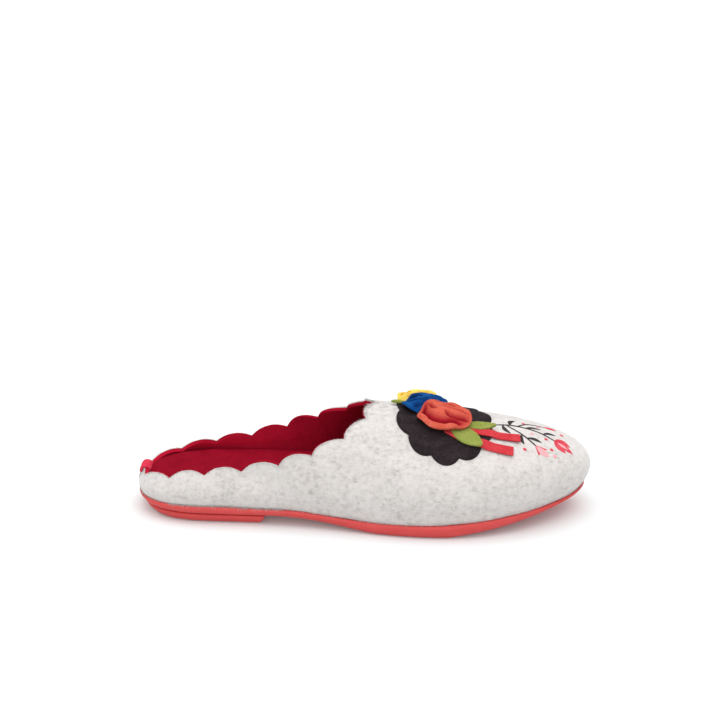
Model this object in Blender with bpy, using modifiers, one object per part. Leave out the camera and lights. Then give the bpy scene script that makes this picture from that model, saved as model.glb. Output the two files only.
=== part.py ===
"""House slipper, right foot: a felt mule with a scalloped collar, a padded footbed, a thin rubber
sole on a low heel, and a bunch of rolled felt flowers with leaves on the vamp.

Metres, +Z up. +X runs to the toe and -Y to the outer side. The floor is at z = 0 and the origin is
the middle of the slipper's footprint. Sizes below are in millimetres, measured from the back of the
heel, and the pieces hang on one empty that brings the footprint's middle to the origin.
"""

import math
from collections import namedtuple

import bmesh
import bpy
import numpy as np
from mathutils import Vector
from mathutils.bvhtree import BVHTree

MM = 0.001

# Driving dimensions of the last
LENGTH = 252.0
BALL_WIDTH = 87.0
INSTEP_HEIGHT = 61.5
HEEL_HEIGHT = 10.8

# Felt wall with its lining, the gap where pieces meet, and the gap round the footbed
WALL = 3.0
SEAT_GAP = 0.3
FOOTBED_GAP = 0.5

# Scalloped collar: widths of its lobes from the back seam to the middle of the throat, the same on both
# sides, of which the first is half of the lobe across the seam; their depth; and how square they are
LOBE_WIDTHS = (8.8, 20.0, 20.2, 20.4, 20.8, 18.3, 18.8, 17.0, 14.0)
SCALLOP_DEPTH = 4.0
SCALLOP_SQUARENESS = 2.3

# The last, a row for each section from the heel to the toe. Distances along are fractions of LENGTH,
# breadths of BALL_WIDTH, collar heights of INSTEP_HEIGHT and feather heights of HEEL_HEIGHT. Each
# side of a section is one curve from the feather edge, where the upper meets the sole, up to the
# collar: it leaves the feather edge by "out" and "up", and comes to the collar over "reach" of its
# run with a drop of "fall".
Section = namedtuple(
    "Section",
    "along lateral medial feather out up collar_along collar_half collar_height reach fall",
)
SECTIONS = (
    Section(0.004, 0.000, 0.000, 0.93, 0.030, 0.11, 0.012, 0.000, 0.366, 1.00, 0.10),
    Section(0.030, 0.198, 0.190, 0.95, 0.032, 0.11, 0.036, 0.152, 0.378, 1.00, 0.10),
    Section(0.090, 0.305, 0.295, 0.98, 0.036, 0.12, 0.090, 0.235, 0.432, 1.00, 0.11),
    Section(0.180, 0.340, 0.325, 1.00, 0.040, 0.15, 0.172, 0.276, 0.492, 0.90, 0.14),
    Section(0.280, 0.350, 0.324, 0.97, 0.045, 0.18, 0.262, 0.302, 0.556, 0.80, 0.17),
    Section(0.380, 0.375, 0.328, 0.90, 0.055, 0.22, 0.344, 0.332, 0.652, 0.70, 0.18),
    Section(0.480, 0.430, 0.372, 0.72, 0.070, 0.26, 0.404, 0.312, 0.740, 0.62, 0.16),
    Section(0.580, 0.485, 0.445, 0.69, 0.090, 0.31, 0.449, 0.262, 0.820, 0.58, 0.14),
    Section(0.680, 0.500, 0.490, 0.76, 0.115, 0.36, 0.478, 0.198, 0.886, 0.56, 0.14),
    Section(0.775, 0.455, 0.475, 0.94, 0.145, 0.41, 0.495, 0.134, 0.945, 0.56, 0.16),
    Section(0.860, 0.350, 0.412, 1.10, 0.190, 0.46, 0.504, 0.080, 0.976, 0.58, 0.18),
    Section(0.930, 0.205, 0.298, 1.23, 0.224, 0.49, 0.508, 0.042, 0.991, 0.60, 0.20),
    Section(0.968, 0.080, 0.176, 1.33, 0.243, 0.51, 0.510, 0.019, 0.998, 0.60, 0.21),
)
TOE_TIP = Section(0.982, -0.046, 0.046, 1.38, 0.250, 0.52, 0.511, 0.000, 1.000, 0.60, 0.21)

# Grid of the upper: the widest columns at the collar and at the feather edge, the number that a lobe's
# columns are a multiple of, the rows up the wall, and how they crowd towards the feather edge
COLLAR_STEP = 3.6
FEATHER_STEP = 7.5
LOBE_COLUMN_STEP = 4
WALL_ROWS = 9
ROW_CROWDING = 1.15
WALK_SAMPLES = 4000
NUDGE = 1e-4
MERGE = 1e-3

# Heights over the floor, by distance along: the sole's underside, and the top of the footbed
Level = namedtuple("Level", "along height")
UNDERSIDE = (
    Level(0, 5.8),
    Level(40, 5.4),
    Level(75, 5.4),
    Level(92, 4.9),
    Level(108, 3.4),
    Level(122, 1.4),
    Level(134, 0.0),
    Level(150, 0.0),
    Level(170, 0.0),
    Level(186, 2.0),
    Level(204, 4.7),
    Level(222, 7.8),
    Level(238, 10.8),
    Level(250, 13.4),
)
FOOTBED = (
    Level(0, 22.5),
    Level(30, 24.0),
    Level(60, 23.4),
    Level(90, 21.8),
    Level(120, 18.6),
    Level(150, 15.8),
    Level(180, 15.8),
    Level(215, 18.4),
    Level(250, 22.0),
)

# Moulded edges, a row for each ring from the bottom up: a share of the edge's height, how far it lies
# in from the sole's rim, and how much further in at the back of the heel
Edge = namedtuple("Edge", "height inset tuck")
SOLE_RIM = 0.7
SOLE_EDGE = (
    Edge(0.00, 3.2, 3.0),
    Edge(0.18, 0.8, 2.1),
    Edge(0.55, -0.4, 1.0),
    Edge(1.00, 0.0, 0.0),
)
HEEL_EDGE = (
    Edge(0.00, 5.4, 11.0),
    Edge(0.18, 3.3, 6.2),
    Edge(0.50, 2.2, 2.7),
    Edge(1.00, 1.8, 1.2),
)
HEEL_FRONT = 70.5
HEEL_FRONT_SLOPE = 2.5
HEEL_COLUMNS = 40

# Padded footbed edge, a row for each ring from the bottom up: how far it lies in from the wall, and
# how far down from the bed's top; the bottom ring lies on the sole instead
Bed = namedtuple("Bed", "inset below")
FOOTBED_EDGE = (Bed(0.0, 1.4), Bed(1.4, 0.3), Bed(6.5, 0.0))
FOOTBED_FOOT_INSET = 1.2
FOOTBED_CUP = 0.9
INNER_WALL_SAMPLES = 60

# Rolled felt flowers on the vamp, each one pressing down on the next
Flower = namedtuple("Flower", "name along across radius petals turn colour")
FLOWERS = (
    Flower("flower_orange", 169.8, -9.6, 14.8, 5, 0.30, (0.76, 0.16, 0.11)),
    Flower("flower_blue", 162.0, 3.8, 13.5, 5, 1.10, (0.01, 0.07, 0.33)),
    Flower("flower_yellow", 155.0, 16.0, 12.2, 5, 0.70, (0.84, 0.66, 0.16)),
)
# A flower's turned profile from its base to its middle: a share of its radius, a height over its seat,
# how strongly it waves with the petals, and how much of the vamp's curve it follows
Turn = namedtuple("Turn", "radius height wave droop")
FLOWER_PROFILE = (
    Turn(0.00, 0.0, 0.0, 1.0),
    Turn(0.26, 0.0, 0.0, 1.0),
    Turn(0.50, 0.0, 0.0, 1.0),
    Turn(0.62, 2.2, 0.3, 0.8),
    Turn(0.97, 4.0, 1.0, 0.6),
    Turn(1.00, 5.4, 1.0, 0.6),
    Turn(0.84, 6.8, 0.6, 0.5),
    Turn(0.56, 5.8, -0.5, 0.4),
    Turn(0.30, 7.6, 0.5, 0.2),
    Turn(0.00, 7.8, 0.0, 0.0),
)
FLOWER_COLUMNS = 24
PETAL_SWELL = 0.06
PETAL_RISE = 0.7
FLOWER_SEAT_GAP = 0.35
PRESS_HEIGHT = 3.0
PRESS_SLANT = math.radians(25)
PRESS_GAP = 0.4
PRESS_PASSES = 6

# Felt leaves that come out from under the flowers, from root to tip
Leaf = namedtuple("Leaf", "name root_along root_across tip_along tip_across width lift")
LEAVES = (
    Leaf("leaf_outer", 176.0, -17.2, 189.5, -27.5, 11.5, 1.6),
    Leaf("leaf_toe", 180.5, -13.0, 198.0, -9.0, 6.8, 1.2),
    Leaf("leaf_back", 148.2, 4.6, 141.0, 0.8, 4.0, 0.2),
)
LEAF_THICKNESS = 1.2
LEAF_ROOT = 0.12
LEAF_STEPS = 8
LEAF_STRIPS = 4
RAY_START = 150.0

# Finishes: base colour and roughness
GREY_FELT = ("grey_felt", (0.66, 0.63, 0.61), 0.95)
RED_RUBBER = ("red_rubber", (0.55, 0.07, 0.07), 0.50)
RED_FLEECE = ("red_fleece", (0.33, 0.01, 0.03), 0.95)
GREEN_FELT = ("green_felt", (0.27, 0.33, 0.08), 0.95)
FLOWER_ROUGHNESS = 0.92


class ClosedSpline:
    """Periodic cubic spline through rows of values, with the same slope and bend at the join."""

    def __init__(self, knots, rows, period):
        self.knots = np.append(knots, period)
        self.rows = np.vstack([rows, rows[:1]])
        self.period = period
        count = len(rows)
        gap = np.diff(self.knots)
        rise = np.diff(self.rows, axis=0) / gap[:, None]
        system = np.zeros((count, count))
        for i in range(count):
            system[i, i - 1] += gap[i - 1]
            system[i, i] += 2 * (gap[i - 1] + gap[i])
            system[i, (i + 1) % count] += gap[i]
        bends = np.linalg.solve(system, 6 * (rise - np.roll(rise, 1, axis=0)))
        self.bends = np.vstack([bends, bends[:1]])

    def __call__(self, places):
        places = np.mod(np.asarray(places, float), self.period)
        i = np.clip(np.searchsorted(self.knots, places, side="right") - 1, 0, len(self.knots) - 2)
        gap = (self.knots[i + 1] - self.knots[i])[..., None]
        after = (places - self.knots[i])[..., None] / gap
        before = 1 - after
        curve = (before**3 - before) * self.bends[i] + (after**3 - after) * self.bends[i + 1]
        return before * self.rows[i] + after * self.rows[i + 1] + curve * gap**2 / 6


def profile(levels, along):
    """Height of a longitudinal profile: a cubic through its levels, straight where two are equal."""
    places = np.array([level.along for level in levels], float)
    heights = np.array([level.height for level in levels], float)
    slopes = np.gradient(heights, places)
    flat = np.isclose(np.diff(heights), 0)
    slopes[:-1][flat] = 0
    slopes[1:][flat] = 0
    along = np.clip(np.asarray(along, float), places[0], places[-1])
    i = np.clip(np.searchsorted(places, along, side="right") - 1, 0, len(places) - 2)
    gap = places[i + 1] - places[i]
    t = (along - places[i]) / gap
    return (
        heights[i] * (1 + 2 * t) * (1 - t) ** 2
        + heights[i + 1] * t * t * (3 - 2 * t)
        + gap * (slopes[i] * t * (1 - t) ** 2 - slopes[i + 1] * t * t * (1 - t))
    )


def plan_normals(edge, places):
    """Outward normals, in plan, of a closed edge that runs anticlockwise as seen from above."""
    step = edge.period * NUDGE
    tangent = edge(np.asarray(places) + step)[:, :2] - edge(np.asarray(places) - step)[:, :2]
    tangent /= np.linalg.norm(tangent, axis=1)[:, None]
    return np.stack([tangent[:, 1], -tangent[:, 0], np.zeros(len(tangent))], axis=1)


def section_ends(section, side):
    """Feather point, collar point and the control point under the collar; side is -1 outer, 1 inner."""
    breadth = -section.lateral if side < 0 else section.medial
    feather = np.array(
        [section.along * LENGTH, breadth * BALL_WIDTH, section.feather * HEEL_HEIGHT]
    )
    collar = np.array(
        [
            section.collar_along * LENGTH,
            side * section.collar_half * BALL_WIDTH,
            section.collar_height * INSTEP_HEIGHT,
        ]
    )
    over = collar + section.reach * (feather - collar)
    over[2] = collar[2] - section.fall * INSTEP_HEIGHT
    return feather, collar, over


def last_controls():
    """The feather edge, and the control points of the wall's curves, as splines round the last.

    They start at the back seam and run by the outer side, the toe and the inner side.
    """
    ring = [(SECTIONS[0], 0)] + [(section, -1) for section in SECTIONS[1:]]
    ring += [(TOE_TIP, 0)] + [(section, 1) for section in reversed(SECTIONS[1:])]
    ends = zip(*(section_ends(section, side) for section, side in ring))
    feather, collar, over = (np.array(points) for points in ends)
    steps = np.linalg.norm(np.roll(feather, -1, axis=0) - feather, axis=1)
    steps += np.linalg.norm(np.roll(collar, -1, axis=0) - collar, axis=1)
    steps = (steps + steps[::-1]) / 2
    knots = np.concatenate([[0], np.cumsum(steps)[:-1]])
    edge = ClosedSpline(knots, feather, steps.sum())
    out = np.array([[section.out * BALL_WIDTH] for section, _ in ring])
    spring = feather + plan_normals(edge, knots) * out
    spring[:, 2] += [section.up * INSTEP_HEIGHT for section, _ in ring]
    return edge, ClosedSpline(knots, np.hstack([feather, spring, over, collar]), steps.sum())


FEATHER, LAST = last_controls()


def wall_points(places, heights):
    """Points of the last at places round it and at heights from 0, the feather, to 1, the collar."""
    feather, spring, over, collar = np.split(LAST(places), 4, axis=-1)
    v = np.asarray(heights, float)[..., None]
    u = 1 - v
    return u**3 * feather + 3 * u * u * v * spring + 3 * u * v * v * over + v**3 * collar


def wall_normals(places, heights):
    """Outward normals of the last."""
    step = LAST.period * NUDGE
    around = wall_points(places + step, heights) - wall_points(places - step, heights)
    upward = wall_points(places, heights + NUDGE) - wall_points(places, heights - NUDGE)
    normals = np.cross(around, upward)
    return normals / np.linalg.norm(normals, axis=-1, keepdims=True)


def run_length(points):
    return np.linalg.norm(np.diff(points, axis=0), axis=1).sum()


def lobe_columns():
    """Places round the last for the upper's columns, and how far the scallops drop in each."""
    places = np.linspace(0, LAST.period, WALK_SAMPLES)
    collar = wall_points(places, np.ones(WALK_SAMPLES))
    walked = np.concatenate([[0], np.cumsum(np.linalg.norm(np.diff(collar, axis=0), axis=1))])
    edges = np.cumsum([0, *LOBE_WIDTHS, *reversed(LOBE_WIDTHS)]) * walked[-1] / (2 * sum(LOBE_WIDTHS))
    middles = (edges[:-1] + edges[1:]) / 2
    middles[[0, -1]] = edges[[0, -1]]
    stops = np.interp(edges, walked, places)
    feather_runs = np.array([run_length(FEATHER(np.linspace(a, b))) for a, b in zip(stops, stops[1:])])
    feather_runs = np.maximum(feather_runs, feather_runs[::-1])
    columns, drops = [], []
    for start, end, middle, feather_run in zip(edges, edges[1:], middles, feather_runs):
        steps = max((end - start) / COLLAR_STEP, feather_run / FEATHER_STEP)
        count = LOBE_COLUMN_STEP * math.ceil(steps / LOBE_COLUMN_STEP)
        walk = start + np.arange(count) / count * (end - start)
        columns.extend(np.interp(walk, walked, places))
        out = np.abs(walk - middle) / max(middle - start, end - middle)
        drops.extend(SCALLOP_DEPTH * out**SCALLOP_SQUARENESS)
    return np.array(columns), np.array(drops)


COLUMNS, DROPS = lobe_columns()


def loft(rows):
    """A grid wrapped into a tube through rows of points, each of which runs once round it.

    The tube is closed at an end whose row has shrunk to a line or a point.
    """
    rows = np.asarray(rows)
    last_row = len(rows) - 1
    count = rows.shape[1]
    bm = bmesh.new()
    bmesh.ops.create_grid(bm, x_segments=count, y_segments=last_row, size=0.5)
    for vert in bm.verts:
        column = round((vert.co.x + 0.5) * count) % count
        vert.co = rows[round((vert.co.y + 0.5) * last_row), column]
    return bm


def midline(ring):
    """The ring folded onto its middle: each point meets its partner on the other side."""
    return (ring + np.roll(ring[::-1], 1, axis=0)) / 2


def add_piece(name, bm, finish, root):
    """An object from a bmesh in millimetres, with doubles merged and its faces turned outwards."""
    bmesh.ops.remove_doubles(bm, verts=bm.verts, dist=MERGE)
    bmesh.ops.recalc_face_normals(bm, faces=bm.faces)
    bmesh.ops.scale(bm, vec=(MM, MM, MM), verts=bm.verts)
    mesh = bpy.data.meshes.new(name)
    bm.to_mesh(mesh)
    bm.free()
    mesh.shade_smooth()
    mesh.materials.append(material_of(*finish))
    piece = bpy.data.objects.new(name, mesh)
    piece.parent = root
    root.users_collection[0].objects.link(piece)
    return piece


def material_of(name, colour, roughness):
    if name in bpy.data.materials:
        return bpy.data.materials[name]
    material = bpy.data.materials.new(name)
    material.use_nodes = True
    shader = material.node_tree.nodes["Principled BSDF"]
    shader.inputs["Base Color"].default_value = (*colour, 1)
    shader.inputs["Roughness"].default_value = roughness
    shader.inputs["Metallic"].default_value = 0
    return material


def edge_ring(places, edge, bottom, top):
    """One ring of a moulded edge, between the heights that the functions bottom and top give."""
    outward = plan_normals(FEATHER, places)
    at_back = np.clip(-outward[:, :1], 0, 1) ** 3
    ring = FEATHER(places) + outward * (SOLE_RIM - edge.inset - edge.tuck * at_back)
    low = bottom(ring[:, 0])
    ring[:, 2] = low + edge.height * (top(ring[:, 0]) - low)
    return ring


def sole_under(along):
    return profile(UNDERSIDE, along)


def seat_height(along):
    """Height of the feather edge by distance along; both sides have the same."""
    edge = FEATHER(np.linspace(0, FEATHER.period / 2, WALK_SAMPLES))
    return np.interp(along, edge[:, 0], edge[:, 2])


def make_outsole(root):
    def sole_top(along):
        return seat_height(along) - SEAT_GAP

    rings = [edge_ring(COLUMNS, edge, sole_under, sole_top) for edge in SOLE_EDGE]
    add_piece("outsole", loft([midline(rings[0]), *rings, midline(rings[-1])]), RED_RUBBER, root)


def make_heel_lift(root):
    """A low block under the seat, flat below, with a sloped front face."""

    def lift_top(along):
        return sole_under(along) - SEAT_GAP

    half = np.linspace(0, FEATHER.period / 2, WALK_SAMPLES)
    rings = []
    for edge in HEEL_EDGE:
        front = np.interp(HEEL_FRONT + HEEL_FRONT_SLOPE * edge.height, FEATHER(half)[:, 0], half)
        ring = edge_ring(np.linspace(-front, front, HEEL_COLUMNS + 1), edge, np.zeros_like, lift_top)
        rings.append(np.vstack([(ring[:1] + ring[-1:]) / 2, ring]))
    add_piece("heel_lift", loft([midline(rings[0]), *rings, midline(rings[-1])]), RED_RUBBER, root)


def make_upper(root):
    """The felt wall round the last; returns a tree for casting rays onto its outer face."""
    ones = np.ones(len(COLUMNS))
    top_slope = np.linalg.norm(wall_points(COLUMNS, ones) - wall_points(COLUMNS, ones - NUDGE), axis=1)
    tops = 1 - NUDGE * DROPS / top_slope
    shares = (np.arange(WALL_ROWS + 1) / WALL_ROWS) ** ROW_CROWDING
    bm = loft([wall_points(COLUMNS, share * tops) for share in shares])
    outer_face = BVHTree.FromBMesh(bm)
    upper = add_piece("upper", bm, GREY_FELT, root)
    wall = upper.modifiers.new("wall", "SOLIDIFY")
    wall.thickness = WALL * MM
    wall.offset = -1
    wall.use_even_offset = True
    return outer_face


def make_insole(root):
    """Padded footbed that fills the upper from wall to wall and lies on the sole."""
    places = COLUMNS[::2]
    heights = np.linspace(0, 1, INNER_WALL_SAMPLES)
    face = wall_points(places[:, None], heights[None, :])
    face -= wall_normals(places[:, None], heights[None, :]) * (WALL + FOOTBED_GAP)
    inward = -plan_normals(FEATHER, places)

    def ring_at(levels, inset):
        ring = [
            [np.interp(level, column[:, 2], column[:, axis]) for axis in range(3)]
            for level, column in zip(levels, face)
        ]
        return np.array(ring) + inward * inset

    bed = profile(FOOTBED, face[:, 0, 0])
    foot = ring_at(seat_height(face[:, 0, 0]), FOOTBED_FOOT_INSET)
    foot[:, 2] = seat_height(foot[:, 0])
    rings = [foot]
    for edge in FOOTBED_EDGE:
        ring = ring_at(bed - edge.below, edge.inset)
        ring[:, 2] = profile(FOOTBED, ring[:, 0]) - edge.below
        rings.append(ring)
    middle = midline(rings[-1])
    half_breadth = np.abs(rings[-1][:, 1] - middle[:, 1])
    middle[:, 2] -= FOOTBED_CUP * half_breadth / half_breadth.max()
    add_piece("insole", loft([midline(foot), *rings, middle]), RED_FLEECE, root)


Seat = namedtuple("Seat", "centre axis radius")


def cast(outer_face, start, direction):
    """Point of the vamp that a ray meets, and the vamp's normal there."""
    point, normal, _, _ = outer_face.ray_cast(Vector(start), Vector(direction))
    return np.array(point), np.array(normal)


def flower_seat(flower, outer_face):
    point, normal = cast(outer_face, (flower.along, flower.across, RAY_START), (0, 0, -1))
    return Seat(point, normal * math.copysign(1, normal[2]), flower.radius)


def flower_rows(flower, seat, outer_face):
    """Rows of a flower's points from its base, which follows the vamp, to its middle."""
    side = np.cross(seat.axis, (1, 0, 0))
    side /= np.linalg.norm(side)
    front = np.cross(side, seat.axis)
    angles = np.arange(FLOWER_COLUMNS) * 2 * math.pi / FLOWER_COLUMNS
    wave = np.cos(flower.petals * (angles + flower.turn))
    rows = []
    for turn in FLOWER_PROFILE:
        reach = flower.radius * turn.radius * (1 + PETAL_SWELL * turn.wave * wave)
        flat = seat.centre + np.outer(reach * np.cos(angles), front) + np.outer(reach * np.sin(angles), side)
        row = []
        for point, rise in zip(flat, PETAL_RISE * turn.wave * wave):
            vamp, _ = cast(outer_face, point + RAY_START * seat.axis, -seat.axis)
            vamp_rise = (vamp - point) @ seat.axis
            height = FLOWER_SEAT_GAP + turn.height + rise + turn.droop * vamp_rise
            row.append(point + height * seat.axis)
        rows.append(np.array(row))
    return np.array(rows)


def press(rows, over, under, sign):
    """Moves a flower's points off the slanted face where it presses on its neighbour.

    The flower above the face has the sign 1, and the one below it -1.
    """
    apart = (over.centre - under.centre) / np.linalg.norm(over.centre - under.centre)
    up = (over.axis + under.axis) / np.linalg.norm(over.axis + under.axis)
    share = over.radius / (over.radius + under.radius)
    meeting = over.centre + share * (under.centre - over.centre) + PRESS_HEIGHT * up
    facing = sign * (math.cos(PRESS_SLANT) * apart + math.sin(PRESS_SLANT) * up)
    clearance = (rows - meeting) @ facing
    return rows + np.clip(PRESS_GAP / 2 - clearance, 0, None)[..., None] * facing


def make_flowers(root, outer_face):
    seats = [flower_seat(flower, outer_face) for flower in FLOWERS]
    bunch = [flower_rows(flower, seat, outer_face) for flower, seat in zip(FLOWERS, seats)]
    for i in list(range(len(seats) - 1)) * PRESS_PASSES:
        bunch[i] = press(bunch[i], seats[i], seats[i + 1], 1)
        bunch[i + 1] = press(bunch[i + 1], seats[i], seats[i + 1], -1)
    for flower, rows in zip(FLOWERS, bunch):
        felt = (flower.name + "_felt", flower.colour, FLOWER_ROUGHNESS)
        add_piece(flower.name, loft(rows), felt, root)


def make_leaf(leaf, root, outer_face):
    """A pointed felt plate laid on the vamp, its tip a little raised."""
    stem = np.array([leaf.root_along, leaf.root_across])
    run = np.array([leaf.tip_along, leaf.tip_across]) - stem
    across = np.array([-run[1], run[0]]) / np.linalg.norm(run)
    bm = bmesh.new()
    bmesh.ops.create_grid(bm, x_segments=LEAF_STEPS, y_segments=LEAF_STRIPS, size=0.5)
    for vert in bm.verts:
        t = vert.co.x + 0.5
        breadth = leaf.width * math.sin(math.pi * (LEAF_ROOT + (1 - LEAF_ROOT) * t))
        plan = stem + run * t + across * breadth * vert.co.y
        point, normal = cast(outer_face, (*plan, RAY_START), (0, 0, -1))
        normal *= math.copysign(1, normal[2])
        vert.co = point + normal * (FLOWER_SEAT_GAP + leaf.lift * t * t)
    piece = add_piece(leaf.name, bm, GREEN_FELT, root)
    plate = piece.modifiers.new("plate", "SOLIDIFY")
    plate.thickness = LEAF_THICKNESS * MM
    plate.offset = 1
    plate.use_even_offset = True


def centre_footprint(root):
    """Moves the empty so that the middle of the slipper's footprint comes to the origin."""
    depsgraph = bpy.context.evaluated_depsgraph_get()
    corners = [corner for piece in root.children for corner in piece.evaluated_get(depsgraph).bound_box]
    low, high = np.min(corners, axis=0), np.max(corners, axis=0)
    root.location = (-(low[0] + high[0]) / 2, -(low[1] + high[1]) / 2, 0)


def main():
    for piece in list(bpy.data.objects):
        bpy.data.objects.remove(piece)
    collection = bpy.data.collections.new("house_slipper")
    bpy.context.scene.collection.children.link(collection)
    root = bpy.data.objects.new("footprint_middle", None)
    collection.objects.link(root)
    make_outsole(root)
    make_heel_lift(root)
    outer_face = make_upper(root)
    make_insole(root)
    make_flowers(root, outer_face)
    for leaf in LEAVES:
        make_leaf(leaf, root, outer_face)
    centre_footprint(root)


main()
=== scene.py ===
"""Looks of a house slipper for the right foot: grey felt upper, red lining and footbed, red rubber sole
on a low heel, and a bunch of rolled felt flowers on the vamp.

The frame is in metres, +X to the toe and -Y to the outer side. Sizes below are in millimetres in the
last's own axes, from the back of the heel, and settle() brings each finished piece into the frame.
"""

import math
from collections import namedtuple

import bmesh
import bpy
import numpy as np
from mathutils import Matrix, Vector
from mathutils.bvhtree import BVHTree


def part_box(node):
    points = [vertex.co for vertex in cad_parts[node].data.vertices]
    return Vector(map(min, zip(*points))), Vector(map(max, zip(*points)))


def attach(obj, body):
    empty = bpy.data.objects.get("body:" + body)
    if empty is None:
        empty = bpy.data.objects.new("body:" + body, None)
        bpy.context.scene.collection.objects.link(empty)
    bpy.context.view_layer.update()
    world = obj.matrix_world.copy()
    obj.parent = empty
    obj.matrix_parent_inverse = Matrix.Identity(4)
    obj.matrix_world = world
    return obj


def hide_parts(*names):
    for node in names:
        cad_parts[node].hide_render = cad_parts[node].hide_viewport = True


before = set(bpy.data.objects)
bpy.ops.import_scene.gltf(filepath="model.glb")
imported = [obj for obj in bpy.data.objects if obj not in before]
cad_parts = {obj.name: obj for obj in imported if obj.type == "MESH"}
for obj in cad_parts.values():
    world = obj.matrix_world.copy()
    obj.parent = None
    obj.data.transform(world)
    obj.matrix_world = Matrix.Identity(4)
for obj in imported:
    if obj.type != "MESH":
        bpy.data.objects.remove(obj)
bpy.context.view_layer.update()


# Stage
# A white table that glows a little from beneath, in a bright room that is lightest overhead, with one
# large soft light above and another in front.
# The camera stands at the slipper's outer side, a little above it.
CAMERA_AIM = Vector((-0.0017, 0.0003, 0.0854))
CAMERA_DISTANCE = 0.75
CAMERA_AZIMUTH = math.radians(2)
CAMERA_ELEVATION = math.radians(19)
CAMERA_LENS = 69.1
CAMERA_CLIP = 0.01
PAPER_RADIUS = 9.0
PAPER_SIDES = 96
PAPER_ROUGHNESS = 0.9
PAPER_COLOUR = (0.69, 0.715, 0.72, 1)
PAPER_GLOW = 0.11
ROOM_COLOUR = (1.0, 0.995, 0.99, 1)
ROOM_STRENGTH = 0.45
CEILING_STRENGTH = 2.3
LIGHT_AIM = Vector((0, 0, 0.02))
SoftLight = namedtuple("SoftLight", "name place size power")
SOFT_LIGHTS = (
    SoftLight("overhead_light", (0.35, -0.25, 1.6), 1.3, 3.5),
    SoftLight("front_light", (-0.1, -1.75, 0.9), 1.2, 7.0),
)

scene = bpy.context.scene
scene.view_settings.view_transform = "Standard"


def face_point(thing, place, target):
    """Puts a light or the camera at a place, looking at a point."""
    thing.location = place
    thing.rotation_euler = (target - Vector(place)).to_track_quat("-Z", "Y").to_euler()
    scene.collection.objects.link(thing)


camera = bpy.data.objects.new("camera", bpy.data.cameras.new("camera"))
camera.data.lens = CAMERA_LENS
camera.data.clip_start = CAMERA_CLIP
back = Vector(
    (
        math.sin(CAMERA_AZIMUTH) * math.cos(CAMERA_ELEVATION),
        -math.cos(CAMERA_AZIMUTH) * math.cos(CAMERA_ELEVATION),
        math.sin(CAMERA_ELEVATION),
    )
)
face_point(camera, CAMERA_AIM + CAMERA_DISTANCE * back, CAMERA_AIM)
scene.camera = camera

for light in SOFT_LIGHTS:
    lamp = bpy.data.objects.new(light.name, bpy.data.lights.new(light.name, "AREA"))
    lamp.data.size = light.size
    lamp.data.energy = light.power
    face_point(lamp, light.place, LIGHT_AIM)

room = bpy.data.worlds.new("room")
room.use_nodes = True
tree = room.node_tree
background = tree.nodes["Background"].inputs
background["Color"].default_value = ROOM_COLOUR
# The light from a direction grows with the square of its height
direction = tree.nodes.new("ShaderNodeTexCoord")
axes = tree.nodes.new("ShaderNodeSeparateXYZ")
steep = tree.nodes.new("ShaderNodeMath")
steep.operation = "MULTIPLY"
strength = tree.nodes.new("ShaderNodeMath")
strength.operation = "MULTIPLY_ADD"
strength.inputs[1].default_value = CEILING_STRENGTH - ROOM_STRENGTH
strength.inputs[2].default_value = ROOM_STRENGTH
tree.links.new(direction.outputs["Generated"], axes.inputs[0])
tree.links.new(axes.outputs["Z"], steep.inputs[0])
tree.links.new(axes.outputs["Z"], steep.inputs[1])
tree.links.new(steep.outputs[0], strength.inputs[0])
tree.links.new(strength.outputs[0], background["Strength"])
scene.world = room

paper = bpy.data.materials.new("studio_paper")
paper.use_nodes = True
sockets = paper.node_tree.nodes["Principled BSDF"].inputs
sockets["Base Color"].default_value = PAPER_COLOUR
sockets["Roughness"].default_value = PAPER_ROUGHNESS
sockets["Emission Color"].default_value = PAPER_COLOUR
sockets["Emission Strength"].default_value = PAPER_GLOW
bm = bmesh.new()
bmesh.ops.create_circle(bm, cap_ends=True, segments=PAPER_SIDES, radius=PAPER_RADIUS)
floor_mesh = bpy.data.meshes.new("floor")
bm.to_mesh(floor_mesh)
bm.free()
floor_mesh.materials.append(paper)
floor = bpy.data.objects.new("floor", floor_mesh)
scene.collection.objects.link(floor)


# The last
# The wooden foot that felt, lining, footbed and sole all take their shape from. Each side of a section
# is one curve from the feather edge, where the upper meets the sole, up to the scalloped collar.
LENGTH = 252.0
BALL_WIDTH = 87.0
INSTEP_HEIGHT = 61.5
HEEL_HEIGHT = 10.8
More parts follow.
